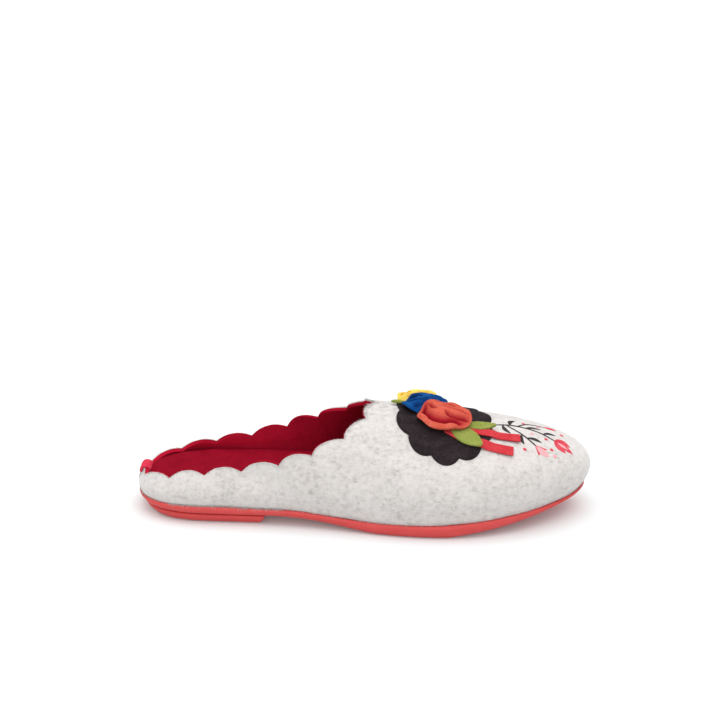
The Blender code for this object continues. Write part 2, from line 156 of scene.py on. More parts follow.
# A section in shares of these sizes: where its two sides meet the sole, how far the wall springs out and
# up from there, where it meets the collar, and how its curve comes in under the collar
Section = namedtuple(
    "Section",
    "along lateral medial feather out up collar_along collar_half collar_height reach fall",
)
SECTIONS = (
    Section(0.004, 0.000, 0.000, 0.93, 0.030, 0.11, 0.012, 0.000, 0.366, 1.00, 0.10),
    Section(0.030, 0.198, 0.190, 0.95, 0.032, 0.11, 0.036, 0.152, 0.378, 1.00, 0.10),
    Section(0.090, 0.305, 0.295, 0.98, 0.036, 0.12, 0.090, 0.235, 0.432, 1.00, 0.11),
    Section(0.180, 0.340, 0.325, 1.00, 0.040, 0.15, 0.172, 0.276, 0.492, 0.90, 0.14),
    Section(0.280, 0.350, 0.324, 0.97, 0.045, 0.18, 0.262, 0.302, 0.556, 0.80, 0.17),
    Section(0.380, 0.375, 0.328, 0.90, 0.055, 0.22, 0.344, 0.332, 0.652, 0.70, 0.18),
    Section(0.480, 0.430, 0.372, 0.72, 0.070, 0.26, 0.404, 0.312, 0.740, 0.62, 0.16),
    Section(0.580, 0.485, 0.445, 0.69, 0.090, 0.31, 0.449, 0.262, 0.820, 0.58, 0.14),
    Section(0.680, 0.500, 0.490, 0.76, 0.115, 0.36, 0.478, 0.198, 0.886, 0.56, 0.14),
    Section(0.775, 0.455, 0.475, 0.94, 0.145, 0.41, 0.495, 0.134, 0.945, 0.56, 0.16),
    Section(0.860, 0.350, 0.412, 1.10, 0.190, 0.46, 0.504, 0.080, 0.976, 0.58, 0.18),
    Section(0.930, 0.205, 0.298, 1.23, 0.224, 0.49, 0.508, 0.042, 0.991, 0.60, 0.20),
    Section(0.968, 0.080, 0.176, 1.33, 0.243, 0.51, 0.510, 0.019, 0.998, 0.60, 0.21),
)
TOE_TIP = Section(0.982, -0.046, 0.046, 1.38, 0.250, 0.52, 0.511, 0.000, 1.000, 0.60, 0.21)
NUDGE = 1e-4


class ClosedSpline:
    """Periodic cubic spline through rows of values, with the same slope and bend at the join."""

    def __init__(self, knots, rows, period):
        self.knots = np.append(knots, period)
        self.rows = np.vstack([rows, rows[:1]])
        self.period = period
        count = len(rows)
        gap = np.diff(self.knots)
        rise = np.diff(self.rows, axis=0) / gap[:, None]
        system = np.zeros((count, count))
        for i in range(count):
            system[i, i - 1] += gap[i - 1]
            system[i, i] += 2 * (gap[i - 1] + gap[i])
            system[i, (i + 1) % count] += gap[i]
        bends = np.linalg.solve(system, 6 * (rise - np.roll(rise, 1, axis=0)))
        self.bends = np.vstack([bends, bends[:1]])

    def __call__(self, places):
        places = np.mod(np.asarray(places, float), self.period)
        i = np.clip(np.searchsorted(self.knots, places, side="right") - 1, 0, len(self.knots) - 2)
        gap = (self.knots[i + 1] - self.knots[i])[..., None]
        after = (places - self.knots[i])[..., None] / gap
        before = 1 - after
        curve = (before**3 - before) * self.bends[i] + (after**3 - after) * self.bends[i + 1]
        return before * self.rows[i] + after * self.rows[i + 1] + curve * gap**2 / 6


def unit(vectors):
    """Vectors, along the last axis of an array, brought to length 1."""
    return vectors / np.linalg.norm(vectors, axis=-1, keepdims=True)


def plan_normals(edge, places):
    """Outward normals, in plan, of a closed edge that runs anticlockwise as seen from above."""
    step = edge.period * NUDGE
    tangent = unit((edge(np.asarray(places) + step) - edge(np.asarray(places) - step))[:, :2])
    return np.stack([tangent[:, 1], -tangent[:, 0], np.zeros(len(tangent))], axis=1)


def section_ends(section, side):
    """Feather point, collar point and the control point under the collar; side is -1 outer, 1 inner."""
    breadth = -section.lateral if side < 0 else section.medial
    feather = np.array(
        [section.along * LENGTH, breadth * BALL_WIDTH, section.feather * HEEL_HEIGHT]
    )
    collar = np.array(
        [
            section.collar_along * LENGTH,
            side * section.collar_half * BALL_WIDTH,
            section.collar_height * INSTEP_HEIGHT,
        ]
    )
    over = collar + section.reach * (feather - collar)
    over[2] = collar[2] - section.fall * INSTEP_HEIGHT
    return feather, collar, over


def last_controls():
    """The feather edge, and the control points of the wall's curves, as splines round the last.

    They start at the back seam and run by the outer side, the toe and the inner side.
    """
    ring = [(SECTIONS[0], 0)] + [(section, -1) for section in SECTIONS[1:]]
    ring += [(TOE_TIP, 0)] + [(section, 1) for section in reversed(SECTIONS[1:])]
    ends = zip(*(section_ends(section, side) for section, side in ring))
    feather, collar, over = (np.array(points) for points in ends)
    steps = np.linalg.norm(np.roll(feather, -1, axis=0) - feather, axis=1)
    steps += np.linalg.norm(np.roll(collar, -1, axis=0) - collar, axis=1)
    steps = (steps + steps[::-1]) / 2
    knots = np.concatenate([[0], np.cumsum(steps)[:-1]])
    edge = ClosedSpline(knots, feather, steps.sum())
    out = np.array([[section.out * BALL_WIDTH] for section, _ in ring])
    spring = feather + plan_normals(edge, knots) * out
    spring[:, 2] += [section.up * INSTEP_HEIGHT for section, _ in ring]
    return edge, ClosedSpline(knots, np.hstack([feather, spring, over, collar]), steps.sum())


FEATHER, LAST = last_controls()


def wall_points(places, heights):
    """Points of the last at places round it and at heights from 0, the feather, to 1, the collar."""
    feather, spring, over, collar = np.split(LAST(places), 4, axis=-1)
    v = np.asarray(heights, float)[..., None]
    u = 1 - v
    return u**3 * feather + 3 * u * u * v * spring + 3 * u * v * v * over + v**3 * collar


def wall_climb(places, heights):
    """Short steps up the last's face."""
    return wall_points(places, heights + NUDGE) - wall_points(places, heights - NUDGE)


def wall_normals(places, heights):
    """Outward normals of the last."""
    step = LAST.period * NUDGE
    around = wall_points(places + step, heights) - wall_points(places - step, heights)
    return unit(np.cross(around, wall_climb(places, heights)))


# Felt upper
# Thick light grey wool felt, mottled with darker fibres, lasted wet in one piece and closed with a seam
# at the back. Its collar is cut in scallops, with one lobe across the seam, and left raw.
MM = 0.001
FELT = 1.75
FELT_EDGE = 0.7
EDGE_TAPER = 0.12
# Widths of the scallops from the back seam to the throat, on either side; the first is half of the lobe
# across the seam
LOBE_WIDTHS = (8.8, 20.0, 20.2, 20.4, 20.8, 18.3, 18.8, 17.0, 14.0)
SCALLOP_DEPTH = 4.0
SCALLOP_SQUARENESS = 2.3
WALK_SAMPLES = 4000
COLLAR_STEP = 0.8
FEATHER_STEP = 1.7
WALL_ROWS = 60
HIDDEN_ROWS = 24
ROW_CROWDING = 1.15
RIM_STEPS = 6
RIM_RISE = 0.45
RIM_SQUARENESS = 0.6
MERGE = 1e-3

# Creases pressed in by wear and lasting, each a soft trough between two places on the wall: a share of
# the way round from the back seam by the outer side, and a share of the height; a minus depth is a ridge.
# The inner side has all but the last of them
Crease = namedtuple("Crease", "from_round from_up to_round to_up width depth")
OUTER_CREASES = (
    Crease(0.285, 0.98, 0.335, 0.30, 7.0, 0.55),
    Crease(0.310, 0.98, 0.365, 0.42, 6.0, -0.35),
    Crease(0.160, 0.80, 0.235, 0.45, 8.0, 0.45),
    Crease(0.050, 0.45, 0.120, 0.30, 7.0, 0.40),
    Crease(0.335, 0.90, 0.395, 0.50, 6.0, 0.40),
)
INNER_CREASES = [
    crease._replace(from_round=1 - crease.from_round, to_round=1 - crease.to_round)
    for crease in OUTER_CREASES[:-1]
]
PUCKERS = 9
PUCKER_SPREAD = (0.44, 0.56)
PUCKER = Crease(0, 0.00, 0, 0.10, 1.6, 0.30)
CREASE_STEPS = 24
SEAM_WIDTH = 1.3
SEAM_DEPTH = 0.55
# Soft swells of the face: radians per millimetre along, across and up, and where they start
SWELLS = ((0.21, 0.07, 0.16, 0.4), (-0.12, 0.23, 0.19, 1.9), (0.09, -0.17, 0.31, 4.1))
SWELL_HEIGHT = 0.09
RELIEF_FADE = 0.06

PALE_FELT = (0.62, 0.59, 0.573)
MIDDLE_FELT = (0.548, 0.52, 0.503)
DARK_FELT = (0.34, 0.32, 0.31)
SHEEN_ROUGHNESS = 0.45


def lobe_columns():
    """Places round the last for the upper's columns, and how far the scallops drop in each."""
    places = np.linspace(0, LAST.period, WALK_SAMPLES)
    collar = wall_points(places, np.ones(WALK_SAMPLES))
    walked = np.concatenate([[0], np.cumsum(np.linalg.norm(np.diff(collar, axis=0), axis=1))])
    edges = np.cumsum([0, *LOBE_WIDTHS, *reversed(LOBE_WIDTHS)])
    edges = edges * walked[-1] / (2 * sum(LOBE_WIDTHS))
    middles = (edges[:-1] + edges[1:]) / 2
    middles[[0, -1]] = edges[[0, -1]]
    stops = np.interp(edges, walked, places)
    columns, drops = [], []
    for start, end, middle, stop, next_stop in zip(edges, edges[1:], middles, stops, stops[1:]):
        feather = FEATHER(np.linspace(stop, next_stop))
        feather_run = np.linalg.norm(np.diff(feather, axis=0), axis=1).sum()
        count = math.ceil(max((end - start) / COLLAR_STEP, feather_run / FEATHER_STEP))
        walk = start + np.arange(count) / count * (end - start)
        columns.extend(np.interp(walk, walked, places))
        out = np.abs(walk - middle) / max(middle - start, end - middle)
        drops.extend(SCALLOP_DEPTH * out**SCALLOP_SQUARENESS)
    return np.array(columns), np.array(drops)


COLUMNS, DROPS = lobe_columns()
ONES = np.ones(len(COLUMNS))
TOP_STEPS = wall_points(COLUMNS, ONES) - wall_points(COLUMNS, ONES - NUDGE)
TOP_SLOPES = np.linalg.norm(TOP_STEPS, axis=1) / NUDGE
TOPS = 1 - DROPS / TOP_SLOPES


def collar_heights(places):
    """Heights at which the scallops are cut, at places round the last."""
    return np.interp(places, COLUMNS, TOPS, period=LAST.period)


def sunk(points, crease):
    """How deep one crease lies at each point."""
    t = np.linspace(0, 1, CREASE_STEPS)
    rounds = crease.from_round + (crease.to_round - crease.from_round) * t
    ups = crease.from_up + (crease.to_up - crease.from_up) * t
    gaps = np.linalg.norm(points[..., None, :] - wall_points(rounds * LAST.period, ups), axis=-1)
    fade = np.sin(math.pi * t)[gaps.argmin(axis=-1)]
    near = (gaps.min(axis=-1) / crease.width) ** 2
    return crease.depth * fade * (1 - near / 2) * np.exp(-near)


def felt_relief(points, heights):
    """How far the felt's face stands out from the last: creases, toe puckers, back seam and swells."""
    relief = sum(SWELL_HEIGHT * np.sin(points @ swell[:3] + swell[3]) for swell in SWELLS)
    for crease in (*OUTER_CREASES, *INNER_CREASES):
        relief -= sunk(points, crease)
    for place in np.linspace(*PUCKER_SPREAD, PUCKERS):
        relief -= sunk(points, PUCKER._replace(from_round=place, to_round=place))
    at_back = points[..., 0] < LOBE_WIDTHS[0]
    relief -= at_back * SEAM_DEPTH * np.exp(-((points[..., 1] / SEAM_WIDTH) ** 2))
    return relief * np.clip((1 - heights) / RELIEF_FADE, 0, 1)


def felt_face(places, heights):
    """Points of the felt's outer face, with its relief."""
    points = wall_points(places, heights)
    return points + wall_normals(places, heights) * felt_relief(points, heights)[..., None]


def inside(places, heights, depth):
    """Points at a depth under the last's face."""
    return wall_points(places, heights) - wall_normals(places, heights) * depth


def felt_depth(share):
    """Thickness of the felt at a share of the wall's height: pressed thinner along the collar."""
    return FELT - (FELT - FELT_EDGE) * min(max((share - 1) / EDGE_TAPER + 1, 0), 1)


def rounded_rim(outer, inner, over):
    """Rows over the collar edge of a skin, from its outer to its inner depth, that far over the cut."""
    rows = []
    for k in range(1, RIM_STEPS):
        angle = math.pi * k / RIM_STEPS
        turned = math.copysign(abs(math.cos(angle)) ** RIM_SQUARENESS, math.cos(angle))
        depth = (outer + inner) / 2 - (inner - outer) / 2 * turned
        rise = over + RIM_RISE * math.sin(angle) ** RIM_SQUARENESS
        rows.append(inside(COLUMNS, TOPS + rise / TOP_SLOPES, depth))
    return rows


def row_shares(count):
    """Shares of the wall's height for a number of rows, crowded towards the feather edge."""
    return (np.arange(count + 1) / count) ** ROW_CROWDING


def loft(rows, folds=None):
    """A grid wrapped into a tube through rows of points, each of which runs once round it.

    The tube is closed at an end whose row has shrunk to a line or a point, or by a last row that
    repeats the first. Folds, where given, are how deep each point lies in a fold, from 0 to 1.
    """
    rows = np.asarray(rows)
    last_row = len(rows) - 1
    count = rows.shape[1]
    bm = bmesh.new()
    bmesh.ops.create_grid(bm, x_segments=count, y_segments=last_row, size=0.5)
    in_fold = bm.verts.layers.float.new("in_fold") if folds is not None else None
    for vert in bm.verts:
        row = round((vert.co.y + 0.5) * last_row)
        column = round((vert.co.x + 0.5) * count) % count
        vert.co = rows[row, column]
        if in_fold:
            vert[in_fold] = folds[row, column]
    return bm


def settle(name, bm, finish, slot, *nodes):
    """Makes the piece of a bmesh in the last's millimetres, in the frame and on its one body."""
    bmesh.ops.remove_doubles(bm, verts=bm.verts, dist=MERGE)
    bmesh.ops.recalc_face_normals(bm, faces=bm.faces)
    bmesh.ops.scale(bm, vec=(MM, MM, MM), verts=bm.verts)
    bmesh.ops.translate(bm, vec=HEEL_BACK, verts=bm.verts)
    mesh = bpy.data.meshes.new(name)
    bm.to_mesh(mesh)
    bm.free()
    mesh.shade_smooth()
    mesh.materials.append(finish)
    piece = bpy.data.objects.new(name, mesh)
    scene.collection.objects.link(piece)
    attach(piece, "root")
    if nodes:
        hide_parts(*nodes)
    return piece


def new_finish(name, roughness, sheen=0.0, sheen_tint=(1, 1, 1), gloss=0.2):
    """A material with its even values on the shader's own sockets, and its node tree."""
    finish = bpy.data.materials.new(name)
    finish.use_nodes = True
    sockets = finish.node_tree.nodes["Principled BSDF"].inputs
    sockets["Roughness"].default_value = roughness
    sockets["Specular IOR Level"].default_value = gloss
    sockets["Sheen Weight"].default_value = sheen
    sockets["Sheen Roughness"].default_value = SHEEN_ROUGHNESS
    sockets["Sheen Tint"].default_value = (*sheen_tint, 1)
    return finish, finish.node_tree


def noise(tree, size, detail=4.0, roughness=0.55, distortion=0.0, stretch=(1, 1, 1), turn=(0, 0, 0)):
    """A noise on the piece's own coordinates, its features about size millimetres, as a value."""
    coordinates = tree.nodes.new("ShaderNodeTexCoord")
    mapping = tree.nodes.new("ShaderNodeMapping")
    mapping.inputs["Scale"].default_value = stretch
    mapping.inputs["Rotation"].default_value = turn
    texture = tree.nodes.new("ShaderNodeTexNoise")
    texture.inputs["Scale"].default_value = 1 / (size * MM)
    texture.inputs["Detail"].default_value = detail
    texture.inputs["Roughness"].default_value = roughness
    texture.inputs["Distortion"].default_value = distortion
    tree.links.new(coordinates.outputs["Object"], mapping.inputs["Vector"])
    tree.links.new(mapping.outputs[0], texture.inputs["Vector"])
    return texture.outputs[0]


def weigh(tree, *parts):
    """Sum of values, each with its weight."""
    total = None
    for value, weight in parts:
        step = tree.nodes.new("ShaderNodeMath")
        step.operation = "MULTIPLY_ADD"
        tree.links.new(value, step.inputs[0])
        step.inputs[1].default_value = weight
        step.inputs[2].default_value = 0
        if total is not None:
            tree.links.new(total, step.inputs[2])
        total = step.outputs[0]
    return total


def colour_by(tree, value, *stops):
    """Base colour from a value, through stops of (value, colour)."""
    ramp = tree.nodes.new("ShaderNodeValToRGB")
    elements = ramp.color_ramp.elements
    elements.remove(elements[1])
    elements[0].position = stops[0][0]
    elements[0].color = (*stops[0][1], 1)
    for place, colour in stops[1:]:
        elements.new(place).color = (*colour, 1)
    tree.links.new(value, ramp.inputs[0])
    tree.links.new(ramp.outputs[0], tree.nodes["Principled BSDF"].inputs["Base Color"])


def raise_by(tree, value, height):
    """Bump from a value, its full range that many millimetres high."""
    bump = tree.nodes.new("ShaderNodeBump")
    bump.inputs["Distance"].default_value = height * MM
    tree.links.new(value, bump.inputs["Height"])
    tree.links.new(bump.outputs[0], tree.nodes["Principled BSDF"].inputs["Normal"])


grey_felt, tree = new_finish("mottled_grey_felt", roughness=0.95, sheen=0.6)
tufts = noise(tree, 2.7, detail=4, roughness=0.6, distortion=0.4)
clouds = noise(tree, 13, detail=2)
fibres = noise(tree, 1.8, detail=3, distortion=1.0, stretch=(0.45, 1, 1), turn=(0.3, 0.5, 0.4))
hairs = noise(tree, 0.7, detail=4, roughness=0.7, distortion=1.0)
mottle = weigh(tree, (tufts, 0.4), (clouds, 0.18), (fibres, 0.26), (hairs, 0.16))
colour_by(tree, mottle, (0.34, DARK_FELT), (0.47, MIDDLE_FELT), (0.57, PALE_FELT))
raise_by(tree, weigh(tree, (tufts, 0.5), (hairs, 0.5)), 0.5)

face_rows = [felt_face(COLUMNS, share * TOPS) for share in row_shares(WALL_ROWS)]
hidden_rows = [
    inside(COLUMNS, share * TOPS, felt_depth(share)) for share in row_shares(HIDDEN_ROWS)[::-1]
]
bare_rows = np.array([wall_points(COLUMNS, share * TOPS) for share in row_shares(WALL_ROWS)])
felt_low = bare_rows.min(axis=(0, 1))
wall_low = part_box("upper")[0]
HEEL_BACK = Vector((wall_low.x - felt_low[0] * MM, wall_low.y - felt_low[1] * MM, 0))

felt_bm = loft([*face_rows, *rounded_rim(0, FELT_EDGE, 0), *hidden_rows, face_rows[0]])
VAMP = BVHTree.FromBMesh(felt_bm)
settle("felt_upper", felt_bm, grey_felt, "grey_felt", "upper")


# Lining
# Deep red short-napped fleece bonded to the felt's inner face and cut with it along the collar, where
# its edge shows as a thin line above the felt. Painted light makes it paler towards the heel and a little
# towards the toe, and painted shade darkens it where its face looks up.
BOND = 0.05
LINING = 1.2
LINING_RISE = 0.7
# A cloth's own colour, and those of its deepest and of its most linted places; on the lining both are
# painted light, paler than its own colour, the deep one towards the toe and the lint one towards the heel
Cloth = namedtuple("Cloth", "colour deep lint")
LINING_CLOTH = Cloth((0.235, 0.0030, 0.0140), deep=(0.30, 0.0045, 0.018), lint=(0.60, 0.0125, 0.046))
# Painted light along the lining: how its shade changes for each metre towards the toe, paler at the heel
PAINTED_LIGHT_BY_METRE = -5.4
LINING_MOTTLE = 0.5
LINING_MIDDLE = 0.39
LINING_SPREAD = 0.35
# Painted shade on the lining: how far its shade drops where its face looks up
PAINTED_SHADE_FACING_UP = -0.4


def fleece(name, cloth, mottle=1.0, middle=0.5, spread=0.18, light_per_metre=0.0, shade_facing_up=0.0):
    """Napped fleece, in its own colour where its shade is in the middle, deep or lint a spread away.

    Painted light shifts the shade for each metre towards the toe, and painted shade where the face looks
    up.
    """
    finish, tree = new_finish(name, roughness=0.95, gloss=0.03)
    coordinates = tree.nodes.new("ShaderNodeTexCoord")
    place = tree.nodes.new("ShaderNodeSeparateXYZ")
    tree.links.new(coordinates.outputs["Object"], place.inputs[0])
    facing = tree.nodes.new("ShaderNodeSeparateXYZ")
    tree.links.new(coordinates.outputs["Normal"], facing.inputs[0])
    nap = noise(tree, 0.9, detail=5, roughness=0.65, distortion=0.6)
    strokes = noise(tree, 9, detail=3, distortion=0.8)
    # Painted light along the length, and painted shade where the face looks up
    painted_light = weigh(tree, (place.outputs["X"], light_per_metre), (facing.outputs["Z"], shade_facing_up))
    shade = weigh(tree, (nap, 0.6 * mottle), (strokes, 0.4 * mottle), (painted_light, 1.0))
    dark, light = (middle - spread, cloth.deep), (middle + spread, cloth.lint)
    colour_by(tree, shade, dark, (middle, cloth.colour), light)
    raise_by(tree, weigh(tree, (nap, 0.7), (strokes, 0.3)), 0.45)
    return finish


lining_fleece = fleece(
    "red_lining_fleece",
    LINING_CLOTH,
    mottle=LINING_MOTTLE,
    middle=LINING_MIDDLE,
    spread=LINING_SPREAD,
    light_per_metre=PAINTED_LIGHT_BY_METRE,
    shade_facing_up=PAINTED_SHADE_FACING_UP,
)
bonded_rows = [
    inside(COLUMNS, share * TOPS, felt_depth(share) + BOND) for share in row_shares(HIDDEN_ROWS)
]
bonded_rows.append(inside(COLUMNS, TOPS + LINING_RISE / TOP_SLOPES, FELT_EDGE + BOND))
lining_rim = rounded_rim(FELT_EDGE + BOND, FELT + LINING, LINING_RISE)
nap_rows = [inside(COLUMNS, TOPS + LINING_RISE / TOP_SLOPES, FELT + LINING)]
nap_rows += [inside(COLUMNS, share * TOPS, FELT + LINING) for share in row_shares(WALL_ROWS)[::-1]]
lining_rows = [*bonded_rows, *lining_rim, *nap_rows, bonded_rows[0]]
settle("lining", loft(lining_rows), lining_fleece, "red_fleece")


# Footbed
# A foam pad covered in the lining's red fleece, cut to fill the slipper from wall to wall and glued to
# the sole. The heel, the ball and the toes have pressed shallow hollows into it.
WALL = 3.0
FOOTBED_GAP = 0.5
FOOTBED_FOOT_INSET = 1.2
FOOTBED_EDGE_INSET = 6.5
FOOTBED_EDGE_DROP = 1.4
EDGE_RINGS = 7
TOP_RINGS = 18
INNER_WALL_SAMPLES = 60
BED_COLUMNS = 420
BED_CLOTH = Cloth((0.219, 0.0027, 0.013), deep=(0.165, 0.0017, 0.0083), lint=(0.257, 0.0048, 0.019))

# Levels of the top: how far along from the back of the heel, and how high
FOOTBED = (
    (0, 22.5), (30, 24.0), (60, 23.4), (90, 21.8), (120, 18.6),
    (150, 15.8), (180, 15.8), (215, 18.4), (250, 22.0),
)
Hollow = namedtuple("Hollow", "along across length width depth")
HOLLOWS = (
    Hollow(38, 0, 26, 20, 1.3),
    Hollow(166, -2, 24, 26, 0.9),
    Hollow(214, 13, 12, 9, 0.7),
    Hollow(211, -3, 9, 6, 0.4),
    Hollow(205, -14, 9, 6, 0.4),
)


def profile(levels, along):
    """Height of a profile: a cubic through its levels, straight where two are equally high."""
    places, heights = np.array(list(levels), float).T
    slopes = np.gradient(heights, places)
    flat = np.isclose(np.diff(heights), 0)
    slopes[:-1][flat] = 0
    slopes[1:][flat] = 0
    along = np.clip(np.asarray(along, float), places[0], places[-1])
    i = np.clip(np.searchsorted(places, along, side="right") - 1, 0, len(places) - 2)
    gap = places[i + 1] - places[i]
    t = (along - places[i]) / gap
    return (
        heights[i] * (1 + 2 * t) * (1 - t) ** 2
        + heights[i + 1] * t * t * (3 - 2 * t)
        + gap * (slopes[i] * t * (1 - t) ** 2 - slopes[i + 1] * t * t * (1 - t))
    )


def midline(ring):
    """The ring folded onto its middle: each point meets its partner on the other side."""
    return (ring + np.roll(ring[::-1], 1, axis=0)) / 2


def seat_height(along):
    """Height of the feather edge by distance along; both sides have the same."""
    edge = FEATHER(np.linspace(0, FEATHER.period / 2, WALK_SAMPLES))
    return np.interp(along, edge[:, 0], edge[:, 2])


def footbed_ring(levels, inset):
    """A ring along the wall's inner face at given heights, then moved in from it."""
    ring = [
        [np.interp(level, column[:, 2], column[:, axis]) for axis in range(3)]
        for level, column in zip(levels, bed_wall)
    ]
    return np.array(ring) + bed_inward * inset


def bed_height(points):
    """Height of the footbed's top, with the hollows pressed into it."""
    height = profile(FOOTBED, points[:, 0])
    for hollow in HOLLOWS:
        out = ((points[:, 0] - hollow.along) / hollow.length) ** 2
        out += ((points[:, 1] - hollow.across) / hollow.width) ** 2
        height -= hollow.depth * np.exp(-out)
    return height


bed_places = np.linspace(0, LAST.period, BED_COLUMNS, endpoint=False)
bed_heights = np.linspace(0, 1, INNER_WALL_SAMPLES)
bed_wall = inside(bed_places[:, None], bed_heights[None, :], WALL + FOOTBED_GAP)
bed_inward = -plan_normals(FEATHER, bed_places)
bed_levels = profile(FOOTBED, bed_wall[:, 0, 0])
foot = footbed_ring(seat_height(bed_wall[:, 0, 0]), FOOTBED_FOOT_INSET)
foot[:, 2] = seat_height(foot[:, 0])
bed_rows = [midline(foot), foot]
for k in range(EDGE_RINGS + 1):
    angle = math.pi / 2 * k / EDGE_RINGS
    drop = FOOTBED_EDGE_DROP * (1 - math.sin(angle))
    ring = footbed_ring(bed_levels - drop, FOOTBED_EDGE_INSET * (1 - math.cos(angle)))
    ring[:, 2] = bed_height(ring) - drop
    bed_rows.append(ring)
for share in np.arange(1, TOP_RINGS + 1) / TOP_RINGS:
    ring = bed_rows[EDGE_RINGS + 2] * (1 - share) + midline(bed_rows[EDGE_RINGS + 2]) * share
    ring[:, 2] = bed_height(ring)
    bed_rows.append(ring)
bed_fleece = fleece("red_footbed_fleece", BED_CLOTH)
footbed = settle("padded_footbed", loft(bed_rows), bed_fleece, "red_fleece", "insole")


# Outsole
# A thin red rubber sole, moulded with a raised arch, toe spring, a rounded edge and shallow wavy ribs
# underneath, and glued to the felt along the feather edge.
SEAT_GAP = 0.3
SOLE_RIM = 0.7
SOLE_COLUMNS = 760
SOLE_EDGE_RINGS = 12
UNDER_RINGS = 22
# Levels of the underside: over the heel block, down to the floor under the ball, and up at the toe
UNDERSIDE = (
    (0, 5.8), (40, 5.4), (75, 5.4), (92, 4.9), (108, 3.4), (122, 1.4), (134, 0.0),
    (150, 0.0), (170, 0.0), (186, 2.0), (204, 4.7), (222, 7.8), (238, 10.8), (250, 13.4),
)
# A moulded edge, a row for each ring from the bottom up: a share of the edge's height, how far it lies
# in from the sole's rim, and how much further in at the back of the heel
Edge = namedtuple("Edge", "height inset tuck")
SOLE_EDGE = (
    Edge(0.00, 3.2, 3.0),
    Edge(0.05, 2.0, 2.7),
    Edge(0.18, 0.8, 2.1),
    Edge(0.55, -0.4, 1.0),
    Edge(0.93, -0.05, 0.1),
    Edge(1.00, 0.5, 0.0),
)
RIB_PITCH = 5.0
RIB_WAVE = 1.6
RIB_WAVE_LENGTH = 17.0
RIB_GROOVE = 0.7
RIB_MARGIN = 5.0
RIB_FADE = 2.0
RIB_STEEPNESS = 2.0
RIB_LAND = 0.6
TUCK_POWER = 3

RUBBER_RED = (0.58, 0.049, 0.047)
RUBBER_SHADE = (0.545, 0.043, 0.042)
RUBBER_SCUFF = (0.61, 0.062, 0.059)


def edge_ring(places, edge, bottom, top):
    """One ring of a moulded edge, between the heights that the functions bottom and top give."""
    outward = plan_normals(FEATHER, places)
    at_back = np.clip(-outward[:, :1], 0, 1) ** TUCK_POWER
    ring = FEATHER(places) + outward * (SOLE_RIM - edge.inset - edge.tuck * at_back)
    low = bottom(ring[:, 0])
    ring[:, 2] = low + edge.height * (top(ring[:, 0]) - low)
    return ring


def fine_edge(table, count):
    """Rows between those of a moulded edge's table, on cubics through its columns."""
    heights = [0.5 - 0.5 * math.cos(math.pi * k / count) for k in range(count + 1)]
    levels, *columns = zip(*table)
    fine = [profile(zip(levels, column), heights) for column in columns]
    return [Edge(*row) for row in zip(heights, *fine)]


def ribbed(rows, bottom):
    """Cuts wavy grooves into rows of an underside, fading out towards its edge."""
    edge = rows[-1]
    for row in rows:
        margin = np.clip((np.linalg.norm(row - edge, axis=1) - RIB_MARGIN) / RIB_FADE, 0, 1)
        bent = row[:, 0] + RIB_WAVE * np.sin(math.tau * row[:, 1] / RIB_WAVE_LENGTH)
        groove = np.clip(RIB_STEEPNESS * np.cos(math.tau * bent / RIB_PITCH) - RIB_LAND, 0, 1)
        row[:, 2] = bottom(row[:, 0]) + RIB_GROOVE * groove * margin
    return rows


def underside(edge, count, bottom):
    """Rows from the middle line of an underside out to its edge, ribbed."""
    middle = midline(edge)
    return ribbed([middle + (edge - middle) * k / count for k in range(count + 1)], bottom)


def sole_under(along):
    """Height of the sole's underside."""
    return profile(UNDERSIDE, along)


def sole_top(along):
    """Height of the sole's top, just under the feather edge."""
    return seat_height(along) - SEAT_GAP


red_rubber, tree = new_finish("moulded_red_rubber", roughness=0.52, gloss=0.45)
grain = noise(tree, 0.35, detail=3)
bloom = noise(tree, 14, detail=3, distortion=0.5)
scuffs = noise(tree, 1.6, detail=6, roughness=0.7, stretch=(0.25, 1, 1))
patina = weigh(tree, (bloom, 0.6), (scuffs, 0.4))
colour_by(tree, patina, (0.36, RUBBER_SHADE), (0.52, RUBBER_RED), (0.70, RUBBER_SCUFF))
raise_by(tree, weigh(tree, (grain, 0.7), (scuffs, 0.3)), 0.12)

sole_places = np.linspace(0, FEATHER.period, SOLE_COLUMNS, endpoint=False)
sole_edges = fine_edge(SOLE_EDGE, SOLE_EDGE_RINGS)
sole_rings = [edge_ring(sole_places, edge, sole_under, sole_top) for edge in sole_edges]
sole_rows = underside(sole_rings[0], UNDER_RINGS, sole_under) + sole_rings[1:]
sole_bm = loft([*sole_rows, midline(sole_rows[-1])])
settle("rubber_outsole", sole_bm, red_rubber, "red_rubber", "outsole")


# Heel
# A low block of the sole's rubber under the seat, with a fine groove where it meets the sole, a rounded
# edge that tucks in at the back, and the same ribs underneath.
HEEL_EDGE = (
    Edge(0.00, 5.4, 11.0),
    Edge(0.06, 4.3, 9.2),
    Edge(0.18, 3.3, 6.2),
    Edge(0.50, 2.2, 2.7),
    Edge(0.92, 1.8, 1.3),
    Edge(1.00, 2.2, 1.2),
)
HEEL_FRONT = 70.5
HEEL_FRONT_SLOPE = 2.5
HEEL_FRONT_ROUND = 2.2
HEEL_ROUND_POWER = 4
HEEL_COLUMNS = 220
HEEL_FRONT_COLUMNS = 40


def heel_top(along):
    """Height of the heel's top, just under the sole."""
    return sole_under(along) - SEAT_GAP


